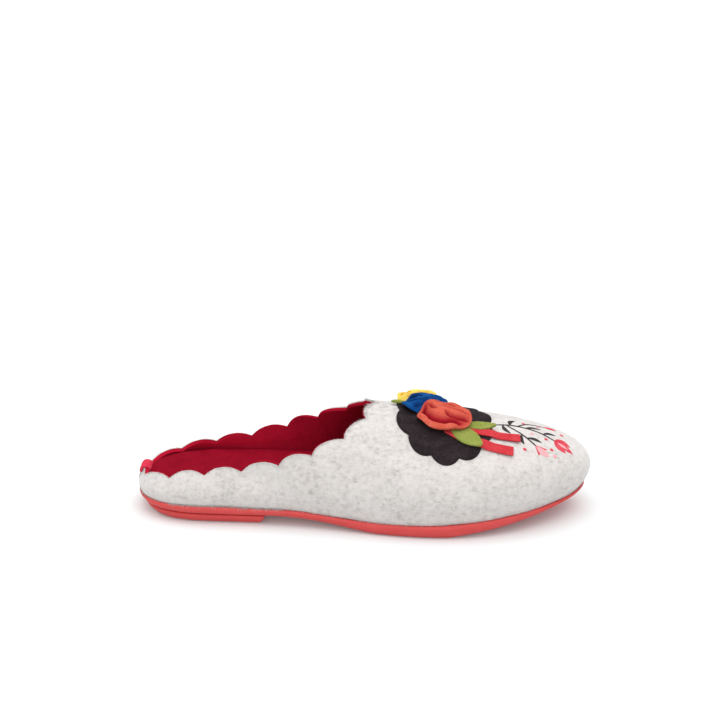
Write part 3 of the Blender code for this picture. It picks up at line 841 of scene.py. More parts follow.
def heel_ring(edge):
    """A ring of the heel: round the back from the inner to the outer side, then along the front."""
    half = np.linspace(0, FEATHER.period / 2, WALK_SAMPLES)
    along = HEEL_FRONT + HEEL_FRONT_SLOPE * edge.height
    along -= HEEL_FRONT_ROUND * (1 - edge.height) ** HEEL_ROUND_POWER
    front = np.interp(along, FEATHER(half)[:, 0], half)
    ring = edge_ring(np.linspace(-front, front, HEEL_COLUMNS + 1), edge, np.zeros_like, heel_top)
    shares = (np.arange(1, HEEL_FRONT_COLUMNS) / HEEL_FRONT_COLUMNS)[:, None]
    breast = ring[-1] * (1 - shares) + ring[0] * shares
    middle = HEEL_FRONT_COLUMNS // 2 - 1
    return np.vstack([breast[middle:], ring, breast[:middle]])


heel_rings = [heel_ring(edge) for edge in fine_edge(HEEL_EDGE, SOLE_EDGE_RINGS)]
heel_rows = underside(heel_rings[0], UNDER_RINGS, np.zeros_like) + heel_rings[1:]
heel_bm = loft([*heel_rows, midline(heel_rows[-1])])
settle("rubber_heel", heel_bm, red_rubber, "red_rubber", "heel_lift")


# Back seam
# The felt is closed at the back with a zigzag of grey thread, and the end of the lining's own seam is
# turned out over the top of it as a short red tab.

# Places round the last add up the lengths of both its edges
PLACES_PER_MM = 2
THREAD_RADIUS = 0.22
THREAD_SIDES = 8
STITCH_PITCH = 1.5
STITCH_REACH = 1.7
STITCH_STEPS = 6
STITCH_STAND = 0.9
STITCH_DIVE = 1.1
STITCH_DIVE_POWER = 6
SEAM_LOW = 0.06
SEAM_HIGH = 0.68
THREAD_GREY = (0.55, 0.53, 0.52)
THREAD_PALE = (0.68, 0.66, 0.65)
TAB_WIDTH = 12.5
TAB_LEG_INSIDE = 5.0
TAB_LEG_OUTSIDE = 4.0
TAB_TURN_RADIUS = 2.35
TAB_CREST = 0.6
TAB_TAPER = 0.25
TAB_THICKNESS = 1.5
TAB_STEPS = 24
TAB_INSIDE_STEPS = 6
TAB_OUTSIDE_STEPS = 4
TAB_STRIPS = 10
TAB_CLOTH = Cloth((0.60, 0.040, 0.075), deep=(0.48, 0.018, 0.040), lint=(0.68, 0.085, 0.125))


def tube(path, radius, sides):
    """A round thread along a path, closed to a point at both ends."""
    path = np.asarray(path)
    tangents = unit(np.gradient(path, axis=0))
    across = unit(np.cross(tangents, (0, 0, 1.0)))
    upward = np.cross(across, tangents)
    angles = np.arange(sides) * math.tau / sides
    rings = [
        point + radius * (np.outer(np.cos(angles), side) + np.outer(np.sin(angles), up))
        for point, side, up in zip(path, across, upward)
    ]
    return loft([np.repeat(path[:1], sides, axis=0), *rings, np.repeat(path[-1:], sides, axis=0)])


def cut_strip(steps, strips, shape, *details):
    """A strip of cloth whose points shape() places by shares along, 0 to 1, and across, -1 to 1."""
    bm = bmesh.new()
    bmesh.ops.create_grid(bm, x_segments=steps, y_segments=strips, size=0.5)
    for vert in bm.verts:
        vert.co = shape(vert.co.x + 0.5, 2 * vert.co.y, *details)
    return bm


def soften_edges(piece, thickness, offset):
    """Gives an open piece its thickness and rounds its cut edges."""
    plate = piece.modifiers.new("thickness", "SOLIDIFY")
    plate.thickness = thickness * MM
    plate.offset = offset
    edges = piece.modifiers.new("soft_edges", "SUBSURF")
    edges.levels = 1
    edges.render_levels = 1


thread, tree = new_finish("grey_seam_thread", roughness=0.8, sheen=0.1)
twist = noise(tree, 0.25, detail=2, stretch=(1, 1, 0.4), turn=(0.6, 0.2, 0))
colour_by(tree, twist, (0.4, THREAD_GREY), (0.6, THREAD_PALE))
raise_by(tree, twist, 0.1)

stitch_count = int((SEAM_HIGH - SEAM_LOW) * TOP_SLOPES[0] / STITCH_PITCH)
zigzag = []
for k in range(stitch_count * STITCH_STEPS + 1):
    swing = 2 * abs((k / STITCH_STEPS) % 2 - 1) - 1
    height = SEAM_LOW + (SEAM_HIGH - SEAM_LOW) * k / (stitch_count * STITCH_STEPS)
    place = PLACES_PER_MM * swing * STITCH_REACH
    lift = THREAD_RADIUS * (STITCH_STAND - STITCH_DIVE * abs(swing) ** STITCH_DIVE_POWER)
    zigzag.append(inside(np.array([place]), np.array([height]), -lift)[0])
settle("back_seam_thread", tube(zigzag, THREAD_RADIUS, THREAD_SIDES), thread, "grey_felt")

# The tab's route over the collar: how far up from the cut, and how far out from the wall's middle
tab_route = [
    (-TAB_LEG_INSIDE * (1 - k / TAB_INSIDE_STEPS), -TAB_TURN_RADIUS) for k in range(TAB_INSIDE_STEPS)
]
for angle in np.linspace(0, math.pi, TAB_STEPS + 1):
    tab_route.append((TAB_CREST * TAB_TURN_RADIUS * math.sin(angle), -TAB_TURN_RADIUS * math.cos(angle)))
for k in range(TAB_OUTSIDE_STEPS):
    tab_route.append((-TAB_LEG_OUTSIDE * (k + 1) / TAB_OUTSIDE_STEPS, TAB_TURN_RADIUS))


def tab_point(t, side):
    """A point of the tab, which narrows towards its outer end."""
    rise, outward = tab_route[round(t * (len(tab_route) - 1))]
    half_width = TAB_WIDTH / 2 * (1 - TAB_TAPER * t**3)
    place = np.array([PLACES_PER_MM * half_width * side])
    height = collar_heights(place) + rise / TOP_SLOPES[0]
    return inside(place, height, (FELT + LINING) / 2 - outward)[0]


tab_bm = cut_strip(len(tab_route) - 1, TAB_STRIPS, tab_point)
tab = settle("lining_back_tab", tab_bm, fleece("red_tab_fleece", TAB_CLOTH), "red_fleece")
soften_edges(tab, TAB_THICKNESS, 0)


# Printed sprig
# A folk sprig printed on the felt towards the toe in black, red and pink: stems with leaves, a tulip, two
# buds and loose berries. The ink lies on the nap as a thin skin, each colour over the one before.
RAY_START = 150.0
VAMP_ALONG = np.arange(128.0, 250.0, 2.0)
VAMP_ACROSS = np.linspace(-44, 44, 177)
Ink = namedtuple("Ink", "name slot lift cloth")
INKS = (
    Ink("black", "black_felt", 0.12, Cloth((0.04, 0.034, 0.036), (0.022, 0.018, 0.02), (0.1, 0.09, 0.09))),
    Ink("red", "red_felt", 0.16, Cloth((0.62, 0.055, 0.085), (0.50, 0.038, 0.062), (0.70, 0.13, 0.15))),
    Ink("pink", "red_felt", 0.20, Cloth((0.78, 0.36, 0.38), (0.70, 0.27, 0.29), (0.82, 0.48, 0.49))),
)
# Strokes as places along the last and across it, over the felt from the ridge; their greatest width; and
# how their ends come in, from 0, blunt, to 1, pointed
Stroke = namedtuple("Stroke", "ink route width point")
STEMS = (
    Stroke("black", ((197, -4), (208, -1), (220, -2), (231, -7)), 1.3, 0.15),
    Stroke("black", ((204, -2), (212, -9), (220, -17)), 1.1, 0.15),
    Stroke("black", ((210, -1), (217, 6), (226, 8)), 1.1, 0.15),
)
SPRIG_LEAVES = (
    Stroke("black", ((202, -2.6), (203, -7), (206, -10.5)), 2.6, 0.9),
    Stroke("black", ((206, -1.4), (206.5, 3.5), (209.5, 7)), 2.6, 0.9),
    Stroke("black", ((214, -1.3), (219, 1.5), (223.5, 1.6)), 2.4, 0.9),
    Stroke("black", ((214.5, -11.5), (219, -11), (223, -12.5)), 2.4, 0.9),
    Stroke("black", ((212, -9), (211.5, -14), (213, -17.5)), 2.4, 0.9),
    Stroke("black", ((224, -3.5), (227.5, -1), (231.5, -0.8)), 2.2, 0.9),
)
TULIP = (
    Stroke("red", ((230, -6.5), (234.5, -5.2), (239, -7.2)), 3.8, 0.9),
    Stroke("red", ((230, -6.5), (232.5, -11), (236, -13.8)), 3.8, 0.9),
    Stroke("red", ((230, -6.5), (234.5, -8.8), (240, -11.5)), 4.8, 0.9),
    Stroke("pink", ((231.5, -7.4), (234.5, -8.8), (237.5, -10.2)), 2.2, 0.9),
)
BUDS = (
    Stroke("pink", ((219.5, -16.5), (223, -19.5), (226.5, -21)), 4.6, 0.8),
    Stroke("red", ((219, -16), (222.5, -17.0), (225.5, -16.6)), 1.7, 1.0),
    Stroke("red", ((219, -16), (220.4, -19.5), (220.6, -23)), 1.7, 1.0),
    Stroke("red", ((225.5, 8), (229, 8.4), (232.5, 7.5)), 4.2, 0.8),
)
Berry = namedtuple("Berry", "ink along across")
BERRIES = (
    Berry("red", 228, -15.5),
    Berry("red", 225.5, -7.8),
    Berry("red", 213, -21),
    Berry("red", 214, 5.5),
    Berry("red", 235, 2.5),
    Berry("pink", 229.5, -19.5),
    Berry("pink", 218, -6.2),
    Berry("pink", 222, 5),
)
BERRY_RADIUS = 1.0
BERRY_POINT = 0.5
PRINT_GAP = 0.02
PRINT_STEPS = 28
PRINT_STRIPS = 7


def drop_on_vamp(along, across):
    """Point of the felt straight under a place in plan, and the felt's normal there."""
    point, normal, _, _ = VAMP.ray_cast(Vector((along, across, RAY_START)), Vector((0, 0, -1)))
    if point is None:
        return None, None
    return np.array(point), np.array(normal) * math.copysign(1, normal.z)


def vamp_girths():
    """How far each place across lies from the ridge, measured over the felt, for each place along."""
    girths = []
    for along in VAMP_ALONG:
        hits = [drop_on_vamp(along, across)[0] for across in VAMP_ACROSS]
        heights = np.array([0.0 if hit is None else hit[2] for hit in hits])
        missed = np.array([hit is None for hit in hits])
        steps = np.hypot(np.diff(VAMP_ACROSS), np.where(missed[1:] | missed[:-1], 0, np.diff(heights)))
        girth = np.concatenate([[0], np.cumsum(steps)])
        girths.append(girth - np.interp(0, VAMP_ACROSS, girth))
    return np.array(girths)


VAMP_GIRTHS = vamp_girths()


def lay(along, across, lift):
    """A point over the vamp; its distance across is measured over the felt from the ridge."""
    row = min(max((along - VAMP_ALONG[0]) / (VAMP_ALONG[1] - VAMP_ALONG[0]), 0), len(VAMP_ALONG) - 2)
    low = int(row)
    before = np.interp(across, VAMP_GIRTHS[low], VAMP_ACROSS)
    after = np.interp(across, VAMP_GIRTHS[low + 1], VAMP_ACROSS)
    point, normal = drop_on_vamp(along, before + (row - low) * (after - before))
    return point + normal * lift


def craft_felt(name, cloth):
    """Thin dyed felt with paler lint and darker hollows on its face."""
    finish, tree = new_finish(name, roughness=0.93, sheen=0.06, sheen_tint=cloth.colour, gloss=0.1)
    wool = noise(tree, 1.1, detail=5, roughness=0.65, distortion=1.0)
    patches = noise(tree, 6, detail=2)
    hairs = noise(tree, 0.4, detail=3, distortion=1.6)
    shade = weigh(tree, (wool, 0.5), (patches, 0.3), (hairs, 0.2))
    colour_by(tree, shade, (0.36, cloth.deep), (0.50, cloth.colour), (0.66, cloth.lint))
    raise_by(tree, weigh(tree, (wool, 0.5), (hairs, 0.5)), 0.4)
    return finish


def through(route, count):
    """Points along a smooth line through a route's own points."""
    steps = np.linspace(0, len(route) - 1, count)
    return np.stack([profile(enumerate(column), steps) for column in zip(*route)], axis=-1)


def printed(stroke, lift):
    """A thin closed skin of ink along a stroke, its upper face that high over the felt."""
    line = through(stroke.route, PRINT_STEPS)
    ahead = unit(np.gradient(line, axis=0))
    sideways = np.stack([-ahead[:, 1], ahead[:, 0]], axis=-1)
    bow = np.abs(np.sin(np.linspace(0, math.pi, PRINT_STEPS)))
    reach = stroke.width / 2 * bow**stroke.point
    reach[[0, -1]] = 0
    shares = np.linspace(-1, 1, PRINT_STRIPS)
    rows = []
    for middle, side in zip(line, sideways * reach[:, None]):
        upper = [lay(*(middle + side * share), lift) for share in shares]
        lower = [lay(*(middle + side * share), PRINT_GAP) for share in shares[::-1]]
        rows.append(upper + lower)
    return loft(rows)


def joined(shells):
    """One bmesh of several, which are used up."""
    whole = bmesh.new()
    for shell in shells:
        mesh = bpy.data.meshes.new("shell")
        shell.to_mesh(mesh)
        shell.free()
        whole.from_mesh(mesh)
        bpy.data.meshes.remove(mesh)
    return whole


def dot(berry):
    """A berry's round stroke."""
    ends = [(berry.along + side * BERRY_RADIUS, berry.across) for side in (-1, 1)]
    return Stroke(berry.ink, ends, 2 * BERRY_RADIUS, BERRY_POINT)


sprig = (*STEMS, *SPRIG_LEAVES, *TULIP, *BUDS, *map(dot, BERRIES))
for ink in INKS:
    shells = [printed(stroke, ink.lift) for stroke in sprig if stroke.ink == ink.name]
    ink_finish = craft_felt("printed_" + ink.name, ink.cloth)
    settle("print_" + ink.name, joined(shells), ink_finish, ink.slot)


# Felt backing
# A scalloped round of thin black craft felt glued to the vamp, on which the flowers are mounted. It is
# cut flat and follows the vamp's curve without stretching across it.
BACKING_ALONG = 170.0
BACKING_ACROSS = -5.0
BACKING_HALF_LENGTH = 27.0
BACKING_HALF_WIDTH = 36.0
BACKING_LOBES = 10
BACKING_SCALLOP = 0.10
BACKING_THICKNESS = 0.8
BACKING_GAP = 0.12
BACKING_FACE = BACKING_GAP + BACKING_THICKNESS
BACKING_ROUND = BACKING_THICKNESS / 4
BACKING_ROUND_FROM = 0.995
BACKING_FALL = 0.12
BACKING_COLUMNS = 200
BACKING_RINGS = 22
BLACK_CLOTH = Cloth((0.021, 0.015, 0.017), deep=(0.010, 0.007, 0.008), lint=(0.046, 0.035, 0.039))


def backing_edge(angle):
    """The backing's radius in a direction, as a share of the plain oval's."""
    share = (angle / math.tau * BACKING_LOBES) % 1
    return 1 - BACKING_SCALLOP * (2 * share - 1) ** 2


def over_backing(along, across):
    """How high the backing's face lies at a place on the vamp, falling off softly past its edge."""
    x = (along - BACKING_ALONG) / BACKING_HALF_LENGTH
    y = (across - BACKING_ACROSS) / BACKING_HALF_WIDTH
    beyond = math.hypot(x, y) / backing_edge(math.atan2(y, x)) - 1
    return BACKING_FACE * min(max(1 - beyond / BACKING_FALL, 0), 1)


def backing_point(angle, share, lift):
    """A point in a direction from the backing's middle, that share of the way out to its edge."""
    out = share * backing_edge(angle)
    along = BACKING_ALONG + out * BACKING_HALF_LENGTH * math.cos(angle)
    across = BACKING_ACROSS + out * BACKING_HALF_WIDTH * math.sin(angle)
    return lay(along, across, lift)


black_felt = craft_felt("black_craft_felt", BLACK_CLOTH)
angles = np.arange(BACKING_COLUMNS) * math.tau / BACKING_COLUMNS
shares = [k / BACKING_RINGS for k in range(BACKING_RINGS)] + [BACKING_ROUND_FROM]
steps = [(share, BACKING_GAP) for share in shares]
steps += [(1.0, BACKING_GAP + BACKING_ROUND), (1.0, BACKING_FACE - BACKING_ROUND)]
steps += [(share, BACKING_FACE) for share in reversed(shares)]
backing_rows = [[backing_point(angle, share, lift) for angle in angles] for share, lift in steps]
backing = settle("scalloped_backing", loft(backing_rows), black_felt, "black_felt")


# Ribbon tails
# Narrow strips of bright red craft felt, cut square, that hang out from under the flowers towards the toe.
# The free ends of the two long ones stand a little off the vamp, and a leaf lies on the short one.
Ribbon = namedtuple("Ribbon", "name start end width wave end_lift")
RIBBONS = (
    Ribbon("ribbon_tail_upper", (180.5, -15.8), (210.8, -15.3), 6.0, 0.12, 1.0),
    Ribbon("ribbon_tail_lower", (182.5, -24.4), (206.6, -26.2), 6.3, -0.10, 1.0),
    Ribbon("ribbon_tail_short", (170.5, -18.6), (180.6, -25.3), 4.0, 0.05, 0.0),
)
RIBBON_THICKNESS = 0.9
RIBBON_GAP = 0.25
RIBBON_TILT = 0.4
RIBBON_LIFT_POWER = 4
RIBBON_STEPS = 40
RIBBON_STRIPS = 8
RIBBON_CLOTH = Cloth((0.53, 0.036, 0.047), deep=(0.44, 0.024, 0.033), lint=(0.58, 0.069, 0.078))


def on_strip(strip, t, sideways):
    """Place on the vamp at a share of the way along a ribbon or leaf, that far left of its middle."""
    run = np.subtract(strip.end, strip.start)
    return strip.start + run * t + unit(np.array([-run[1], run[0]])) * sideways


def ribbon_point(t, side, ribbon):
    """A point of a ribbon, which waves a little over the vamp and lifts at its free end."""
    place = on_strip(ribbon, t, ribbon.width / 2 * side)
    lift = RIBBON_GAP + over_backing(*place) + ribbon.end_lift * t**RIBBON_LIFT_POWER
    lift += ribbon.wave * math.sin(math.tau * t) * (RIBBON_TILT + side / 2)
    return lay(*place, lift)


red_felt = craft_felt("red_craft_felt", RIBBON_CLOTH)
for ribbon in RIBBONS:
    bm = cut_strip(RIBBON_STEPS, RIBBON_STRIPS, ribbon_point, ribbon)
    soften_edges(settle(ribbon.name, bm, red_felt, "red_felt"), RIBBON_THICKNESS, 1)


# Leaves
# Pointed leaves cut from green craft felt, with pressed veins. Each is pinched along its middle, tucked
# under the flowers by its root, and stands a little off the vamp at its tip.
Leaf = namedtuple("Leaf", "node start end width lift")
LEAVES = (
    Leaf("leaf_outer", (174.0, -15.6), (189.5, -27.5), 11.5, 1.6),
    Leaf("leaf_toe", (180.5, -13.0), (198.0, -9.0), 6.8, 1.2),
    Leaf("leaf_back", (148.2, 4.6), (141.0, 0.8), 4.0, 0.2),
)
LEAF_GAP = 0.35
LEAF_THICKNESS = 1.2
LEAF_ROOT = 0.12
LEAF_STEPS = 36
LEAF_STRIPS = 20
LEAF_TIP = 0.05
LEAF_PINCH = 0.55
LEAF_PINCH_WIDTH = 0.16
LEAF_CURL = 0.8
LEAF_VEINS = 6
LEAF_VEIN_DEPTH = 0.14
LEAF_VEIN_SLANT = 0.25
LEAF_VEIN_POWER = 4
LEAF_CLOTH = Cloth((0.232, 0.275, 0.056), deep=(0.168, 0.20, 0.036), lint=(0.30, 0.335, 0.095))


def leaf_point(t, side, leaf):
    """A point of a leaf, which is pinched along its middle, curls up at its sides and lifts at its tip."""
    breadth = leaf.width * math.sin(math.pi * (LEAF_ROOT + (1 - LEAF_ROOT - LEAF_TIP) * t))
    point, normal = drop_on_vamp(*on_strip(leaf, t, breadth / 2 * side))
    vein = max(math.cos(math.tau * LEAF_VEINS * (t - LEAF_VEIN_SLANT * abs(side))), 0)
    lift = LEAF_GAP + BACKING_FACE + leaf.lift * t * t
    lift -= LEAF_PINCH * (1 - t) * math.exp(-((side / LEAF_PINCH_WIDTH) ** 2))
    lift += LEAF_CURL * side * side * t * (1 - t) ** 2
    lift -= LEAF_VEIN_DEPTH * vein**LEAF_VEIN_POWER
    return point + normal * lift


green_felt = craft_felt("green_craft_felt", LEAF_CLOTH)
for leaf in LEAVES:
    bm = cut_strip(LEAF_STEPS, LEAF_STRIPS, leaf_point, leaf)
    soften_edges(settle("felt_" + leaf.node, bm, green_felt, "green_felt", leaf.node), LEAF_THICKNESS, 1)


# Flowers
# Each is a strip of craft felt gathered along one edge, wound up and stitched at the foot. Its turns lie
# against each other as soft rolls with tight creases between them, over a flared, wavy rim. The orange
# flower lies on the blue one's edge, and the blue one on the yellow's.
Flower = namedtuple("Flower", "name along across radius rise turn cloth shadow")
FLOWERS = (
    Flower(
        "orange", 169.6, -9.2, 14.8, 1.0, 0.0,
        cloth=Cloth((0.57, 0.097, 0.060), deep=(0.49, 0.066, 0.040), lint=(0.62, 0.158, 0.107)),
        shadow=(0.33, 0.0075, 0.017),
    ),
    Flower(
        "blue", 161.0, 1.5, 14.0, 0.95, 3.8,
        cloth=Cloth((0.0022, 0.060, 0.235), deep=(0.0015, 0.036, 0.16), lint=(0.015, 0.105, 0.31)),
        shadow=(0.001, 0.010, 0.06),
    ),
    Flower(
        "yellow", 155.4, 10.0, 12.4, 0.95, -2.1,
        cloth=Cloth((0.93, 0.69, 0.12), deep=(0.88, 0.57, 0.08), lint=(0.94, 0.77, 0.22)),
        shadow=(0.66, 0.26, 0.03),
    ),
)
# A flower's outer form from its foot, round the rim, to the middle of its top: the distance from the axis
# as a share of the radius, the height over the vamp, how strongly it waves with the rim, how deep the
# creases go into it, and how much of the vamp's curve it follows
Form = namedtuple("Form", "radius height wave crease follow")
FLOWER_FORM = (
    Form(0.00, 1.0, 0.0, 0.0, 1.0),
    Form(0.42, 1.0, 0.0, 0.0, 1.0),
    Form(0.54, 2.0, 0.2, 0.0, 0.9),
    Form(0.92, 3.3, 0.9, 0.0, 0.7),
    Form(1.00, 4.4, 1.0, 0.2, 0.6),
    Form(0.98, 5.6, 1.0, 0.7, 0.6),
    Form(0.84, 7.0, 0.7, 1.0, 0.5),
    Form(0.50, 8.3, 0.3, 1.0, 0.3),
    Form(0.00, 8.8, 0.0, 1.0, 0.0),
)
# Waves of the rim: how many there are round it, their share of the radius, their rise, and where they start
RimWave = namedtuple("RimWave", "count swing rise start")
RIM_WAVES = (RimWave(3, 0.035, 0.55, 0.6), RimWave(5, 0.030, 0.50, 2.0), RimWave(8, 0.012, 0.20, 4.0))
# Folds between the rolls as seen from above, with the toe to the right, each running anticlockwise: the
# places that it goes through in shares of the radius, how deep it is, and how far in it rises again
Fold = namedtuple("Fold", "route depth reach")
OUTER_ROLL = (
    (-0.60, 0.66), (-0.86, 0.30), (-0.88, -0.10), (-0.70, -0.50), (-0.38, -0.80),
    (-0.04, -0.90), (0.20, -0.84), (0.57, -0.74), (1.04, -0.72),
)
MIDDLE_ROLL = ((0.02, -0.20), (0.06, -0.46), (0.18, -0.56), (0.44, -0.52), (0.74, -0.50), (1.04, -0.46))
FOLDS = (
    Fold(OUTER_ROLL, 5.0, 7.0),
    Fold(MIDDLE_ROLL, 4.2, 4.0),
    Fold(((-0.62, 0.48), (-0.52, 0.20), (-0.42, 0.00), (-0.28, -0.12)), 3.6, 2.8),
    Fold(((-0.23, 0.20), (0.05, 0.06), (0.32, -0.07), (0.62, -0.18), (1.02, -0.24)), 1.8, 3.0),
    Fold(((0.90, 0.24), (0.62, 0.58), (0.14, 0.78), (-0.38, 0.74)), 2.8, 4.5),
    Fold(((0.48, 0.14), (0.26, 0.40), (-0.08, 0.48)), 2.4, 3.0),
)
FOLD_STEPS = 160
FOLD_FADE = 2.2
FOLD_CLEFT = 0.5
CLEFT_WIDTH = 1.1
LIP_RADIUS = 1.5
LIP_LEAN = 0.45
FULL_FOLD = 2.2
FLOWER_ROWS = 140
FLOWER_COLUMNS = 260
# Where two flowers meet: how far along from one middle to the other, how high, and how slanted
PRESS_SHARE = 0.72
PRESS_HEIGHT = 3.0
PRESS_SLANT = math.radians(30)
PRESS_GAP = 0.5
PRESS_DEPTH = 2.0
Seat = namedtuple("Seat", "centre axis front side")


def flower_seat(flower):
    """Where a flower sits on the vamp: its middle, its axis, and its own front and side."""
    point, axis = drop_on_vamp(flower.along, flower.across)
    side = unit(np.cross(axis, (1, 0, 0)))
    return Seat(point, axis, np.cross(side, axis), side)


def folded(flower, front, side):
    """How deep the folds go at places in a flower's own plane, and how far their lips lean in over them."""
    cos, sin = math.cos(flower.turn), math.sin(flower.turn)
    places = np.stack([front * cos + side * sin, side * cos - front * sin], axis=-1)
    deepest = np.zeros(len(places))
    lean = np.zeros(places.shape)
    fade = np.minimum(FOLD_FADE * np.sin(math.pi * np.linspace(0, 1, FOLD_STEPS)), 1)
    for fold in FOLDS:
        line = through(fold.route, FOLD_STEPS) * flower.radius
        ahead = np.gradient(line, axis=0)
        nearest = np.linalg.norm(places[:, None, :] - line, axis=-1).argmin(axis=1)
        off = places - line[nearest]
        gap = np.linalg.norm(off, axis=1) + MERGE
        inner = ahead[nearest, 0] * off[:, 1] - ahead[nearest, 1] * off[:, 0] > 0
        rising = np.clip(gap / fold.reach, 0, 1)
        over_lip = np.clip(gap / LIP_RADIUS, 0, 1)
        slope = FOLD_CLEFT * np.exp(-gap / CLEFT_WIDTH)
        slope += (1 - FOLD_CLEFT) * (1 - rising**2 * (3 - 2 * rising))
        sink = np.where(inner, slope, 1 - np.sqrt(1 - (1 - over_lip) ** 2))
        depth = fold.depth * fade[nearest]
        deepest = np.maximum(deepest, depth * sink)
        bulge = np.where(inner, 0, over_lip * (1 - over_lip / 2) ** 2)
        lean -= off * (LIP_LEAN * depth * bulge / gap)[:, None]
    return deepest, lean[:, 0] * cos - lean[:, 1] * sin, lean[:, 1] * cos + lean[:, 0] * sin


def rosette(flower, seat):
    """Rows of a flower's points from the middle of its foot to that of its top, and how folded each is."""
    outline = np.array([(form.radius * flower.radius, form.height) for form in FLOWER_FORM])
    run = np.concatenate([[0], np.cumsum(np.linalg.norm(np.diff(outline, axis=0), axis=1))])
    steps = np.linspace(0, run[-1], FLOWER_ROWS)
    share, height, wave, crease, follow = (
        profile(zip(run, column), steps) for column in zip(*FLOWER_FORM)
    )
    share[[0, -1]] = 0
    height *= flower.rise
    facing = np.stack([np.gradient(height), -np.gradient(share * flower.radius)])
    facing /= np.linalg.norm(facing, axis=0)
    angles = np.arange(FLOWER_COLUMNS) * math.tau / FLOWER_COLUMNS
    swing = sum(w.swing * np.cos(w.count * (angles - flower.turn) + w.start) for w in RIM_WAVES)
    rise = sum(w.rise * np.sin(w.count * (angles - flower.turn) + w.start) for w in RIM_WAVES)
    rows, folds = [], []
    for k in range(FLOWER_ROWS):
        reach = flower.radius * share[k] * (1 + wave[k] * swing)
        depth, *lean = folded(flower, reach * np.cos(angles), reach * np.sin(angles))
        reach = np.maximum(reach - crease[k] * depth * facing[0, k], 0)
        front = reach * np.cos(angles) + crease[k] * lean[0]
        side = reach * np.sin(angles) + crease[k] * lean[1]
        flat = seat.centre + np.outer(front, seat.front) + np.outer(side, seat.side)
        up = height[k] + wave[k] * rise - crease[k] * depth * facing[1, k]
        for j, point in enumerate(flat):
            vamp, _, _, _ = VAMP.ray_cast(Vector(point + RAY_START * seat.axis), Vector(-seat.axis))
            up[j] += follow[k] * ((np.array(vamp) - point) @ seat.axis)
        rows.append(flat + np.outer(up, seat.axis))
        folds.append(np.clip(crease[k] * depth / FULL_FOLD, 0, 1))
    return np.array(rows), np.array(folds)


def shade_folds(tree, shadow):
    """Deepens a felt's colour towards that of its shadows where it lies in a fold."""
    sockets = tree.nodes["Principled BSDF"].inputs
    depth = tree.nodes.new("ShaderNodeAttribute")
    depth.attribute_name = "in_fold"
    mix = tree.nodes.new("ShaderNodeMixRGB")
    tree.links.new(depth.outputs["Fac"], mix.inputs["Fac"])
    tree.links.new(sockets["Base Color"].links[0].from_socket, mix.inputs["Color1"])
    mix.inputs["Color2"].default_value = (*shadow, 1)
    tree.links.new(mix.outputs[0], sockets["Base Color"])


def meeting_face(over, under):
    """A point and the upper side's normal of the slanted face between two flowers."""
    apart = unit(over.centre - under.centre)
    upward = unit(over.axis + under.axis)
    point = over.centre + PRESS_SHARE * (under.centre - over.centre) + PRESS_HEIGHT * upward
    return point, math.cos(PRESS_SLANT) * apart + math.sin(PRESS_SLANT) * upward


def shortfall(clear):
    """How far points move that lie too near to a face, or behind it, eased in from a little way off."""
    return np.where(clear < PRESS_DEPTH, PRESS_DEPTH * np.exp(clear / PRESS_DEPTH - 1), clear) - clear


def lie_on(rows, over, under):
    """Bends up the edge of a flower that lies on its neighbour."""
    point, facing = meeting_face(over, under)
    return rows + shortfall((rows - point) @ facing - PRESS_GAP / 2)[..., None] * facing


def squeeze(rows, over, under):
    """Squeezes a flower back along the vamp where its neighbour lies on it."""
    point, facing = meeting_face(over, under)
    back = (facing @ under.axis) * under.axis - facing
    back /= back @ -facing
    return rows + shortfall((point - rows) @ facing - PRESS_GAP / 2)[..., None] * back


seats = [flower_seat(flower) for flower in FLOWERS]
bunch, folds = map(list, zip(*(rosette(flower, seat) for flower, seat in zip(FLOWERS, seats))))
for i in range(len(seats) - 1):
    bunch[i] = lie_on(bunch[i], seats[i], seats[i + 1])
    bunch[i + 1] = squeeze(bunch[i + 1], seats[i], seats[i + 1])
for flower, rows, depths in zip(FLOWERS, bunch, folds):
    felt = craft_felt(flower.name + "_craft_felt", flower.cloth)
    shade_folds(felt.node_tree, flower.shadow)
    rolled = loft(rows, depths)
    settle("rolled_flower_" + flower.name, rolled, felt, flower.name + "_felt", "flower_" + flower.name)


# Felt fuzz
# Loose wool fibres that stand off the felt, thickest along its raw collar and over the sole's rim. Each is
# a bent, tapering spike with three sides.

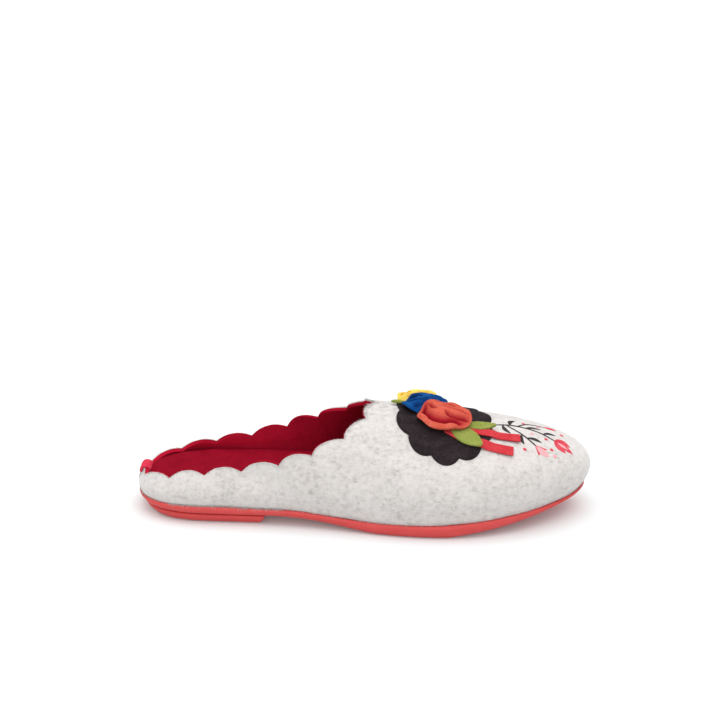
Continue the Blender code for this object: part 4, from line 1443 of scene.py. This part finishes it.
# Fibres between two shares of the way round and of the height, their length, and how they lean
Fuzz = namedtuple("Fuzz", "count from_round to_round low high length stand climb")
FUZZ = (
    Fuzz(3000, 0.00, 1.00, 0.988, 1.005, 1.4, 0.5, 0.9),
    Fuzz(3000, 0.00, 1.00, 0.000, 0.035, 1.6, 0.7, -0.9),
    Fuzz(900, 0.07, 0.21, 0.000, 0.020, 2.8, 0.7, -1.2),
    Fuzz(900, 0.79, 0.93, 0.000, 0.020, 2.8, 0.7, -1.2),
    Fuzz(2600, 0.00, 1.00, 0.030, 0.988, 1.0, 0.5, 0.0),
)
FUZZ_SEED = 7
FIBRE_RADIUS = 0.06
FIBRE_WAIST = 0.75
FIBRE_SHORTEST = 0.5
FIBRE_DROOP = 0.25
FIBRE_SCATTER = 0.8
FIBRE_FACES = np.array(((0, 1, 4, 3), (1, 2, 5, 4), (2, 0, 3, 5)))
FIBRE_TIPS = np.array(((2, 1, 0), (3, 4, 6), (4, 5, 6), (5, 3, 6)))


def fibres_of(fuzz, rng):
    """The seven points of each fibre: a ring of three at its root, one at its waist, and its tip."""
    places = rng.uniform(fuzz.from_round, fuzz.to_round, fuzz.count) * LAST.period
    heights = rng.uniform(fuzz.low, fuzz.high, fuzz.count) * collar_heights(places)
    roots = felt_face(places, heights)
    ways = fuzz.stand * wall_normals(places, heights) + fuzz.climb * unit(wall_climb(places, heights))
    ways = unit(ways + FIBRE_SCATTER * rng.normal(size=ways.shape))
    lengths = fuzz.length * rng.uniform(FIBRE_SHORTEST, 1, (fuzz.count, 1))
    tips = roots + ways * lengths
    tips[:, 2:] -= FIBRE_DROOP * lengths
    across = FIBRE_RADIUS * unit(np.cross(ways, rng.normal(size=ways.shape)))
    other = np.cross(across, ways)
    ring = [
        math.cos(angle) * across + math.sin(angle) * other
        for angle in (0, math.tau / 3, 2 * math.tau / 3)
    ]
    foot = [roots + side for side in ring]
    waist = [roots + ways * lengths / 2 + FIBRE_WAIST * side for side in ring]
    return np.stack([*foot, *waist, tips], axis=1)


rng = np.random.default_rng(FUZZ_SEED)
fibre_points = np.concatenate([fibres_of(fuzz, rng) for fuzz in FUZZ])
starts = fibre_points.shape[1] * np.arange(len(fibre_points))[:, None, None]
fibre_sides = (FIBRE_FACES + starts).reshape(-1, 4).tolist()
fibre_ends = (FIBRE_TIPS + starts).reshape(-1, 3).tolist()
fuzz_mesh = bpy.data.meshes.new("fuzz")
fuzz_mesh.from_pydata(fibre_points.reshape(-1, 3).tolist(), [], fibre_sides + fibre_ends)
fuzz_bm = bmesh.new()
fuzz_bm.from_mesh(fuzz_mesh)
bpy.data.meshes.remove(fuzz_mesh)
settle("felt_fuzz", fuzz_bm, grey_felt, "grey_felt")
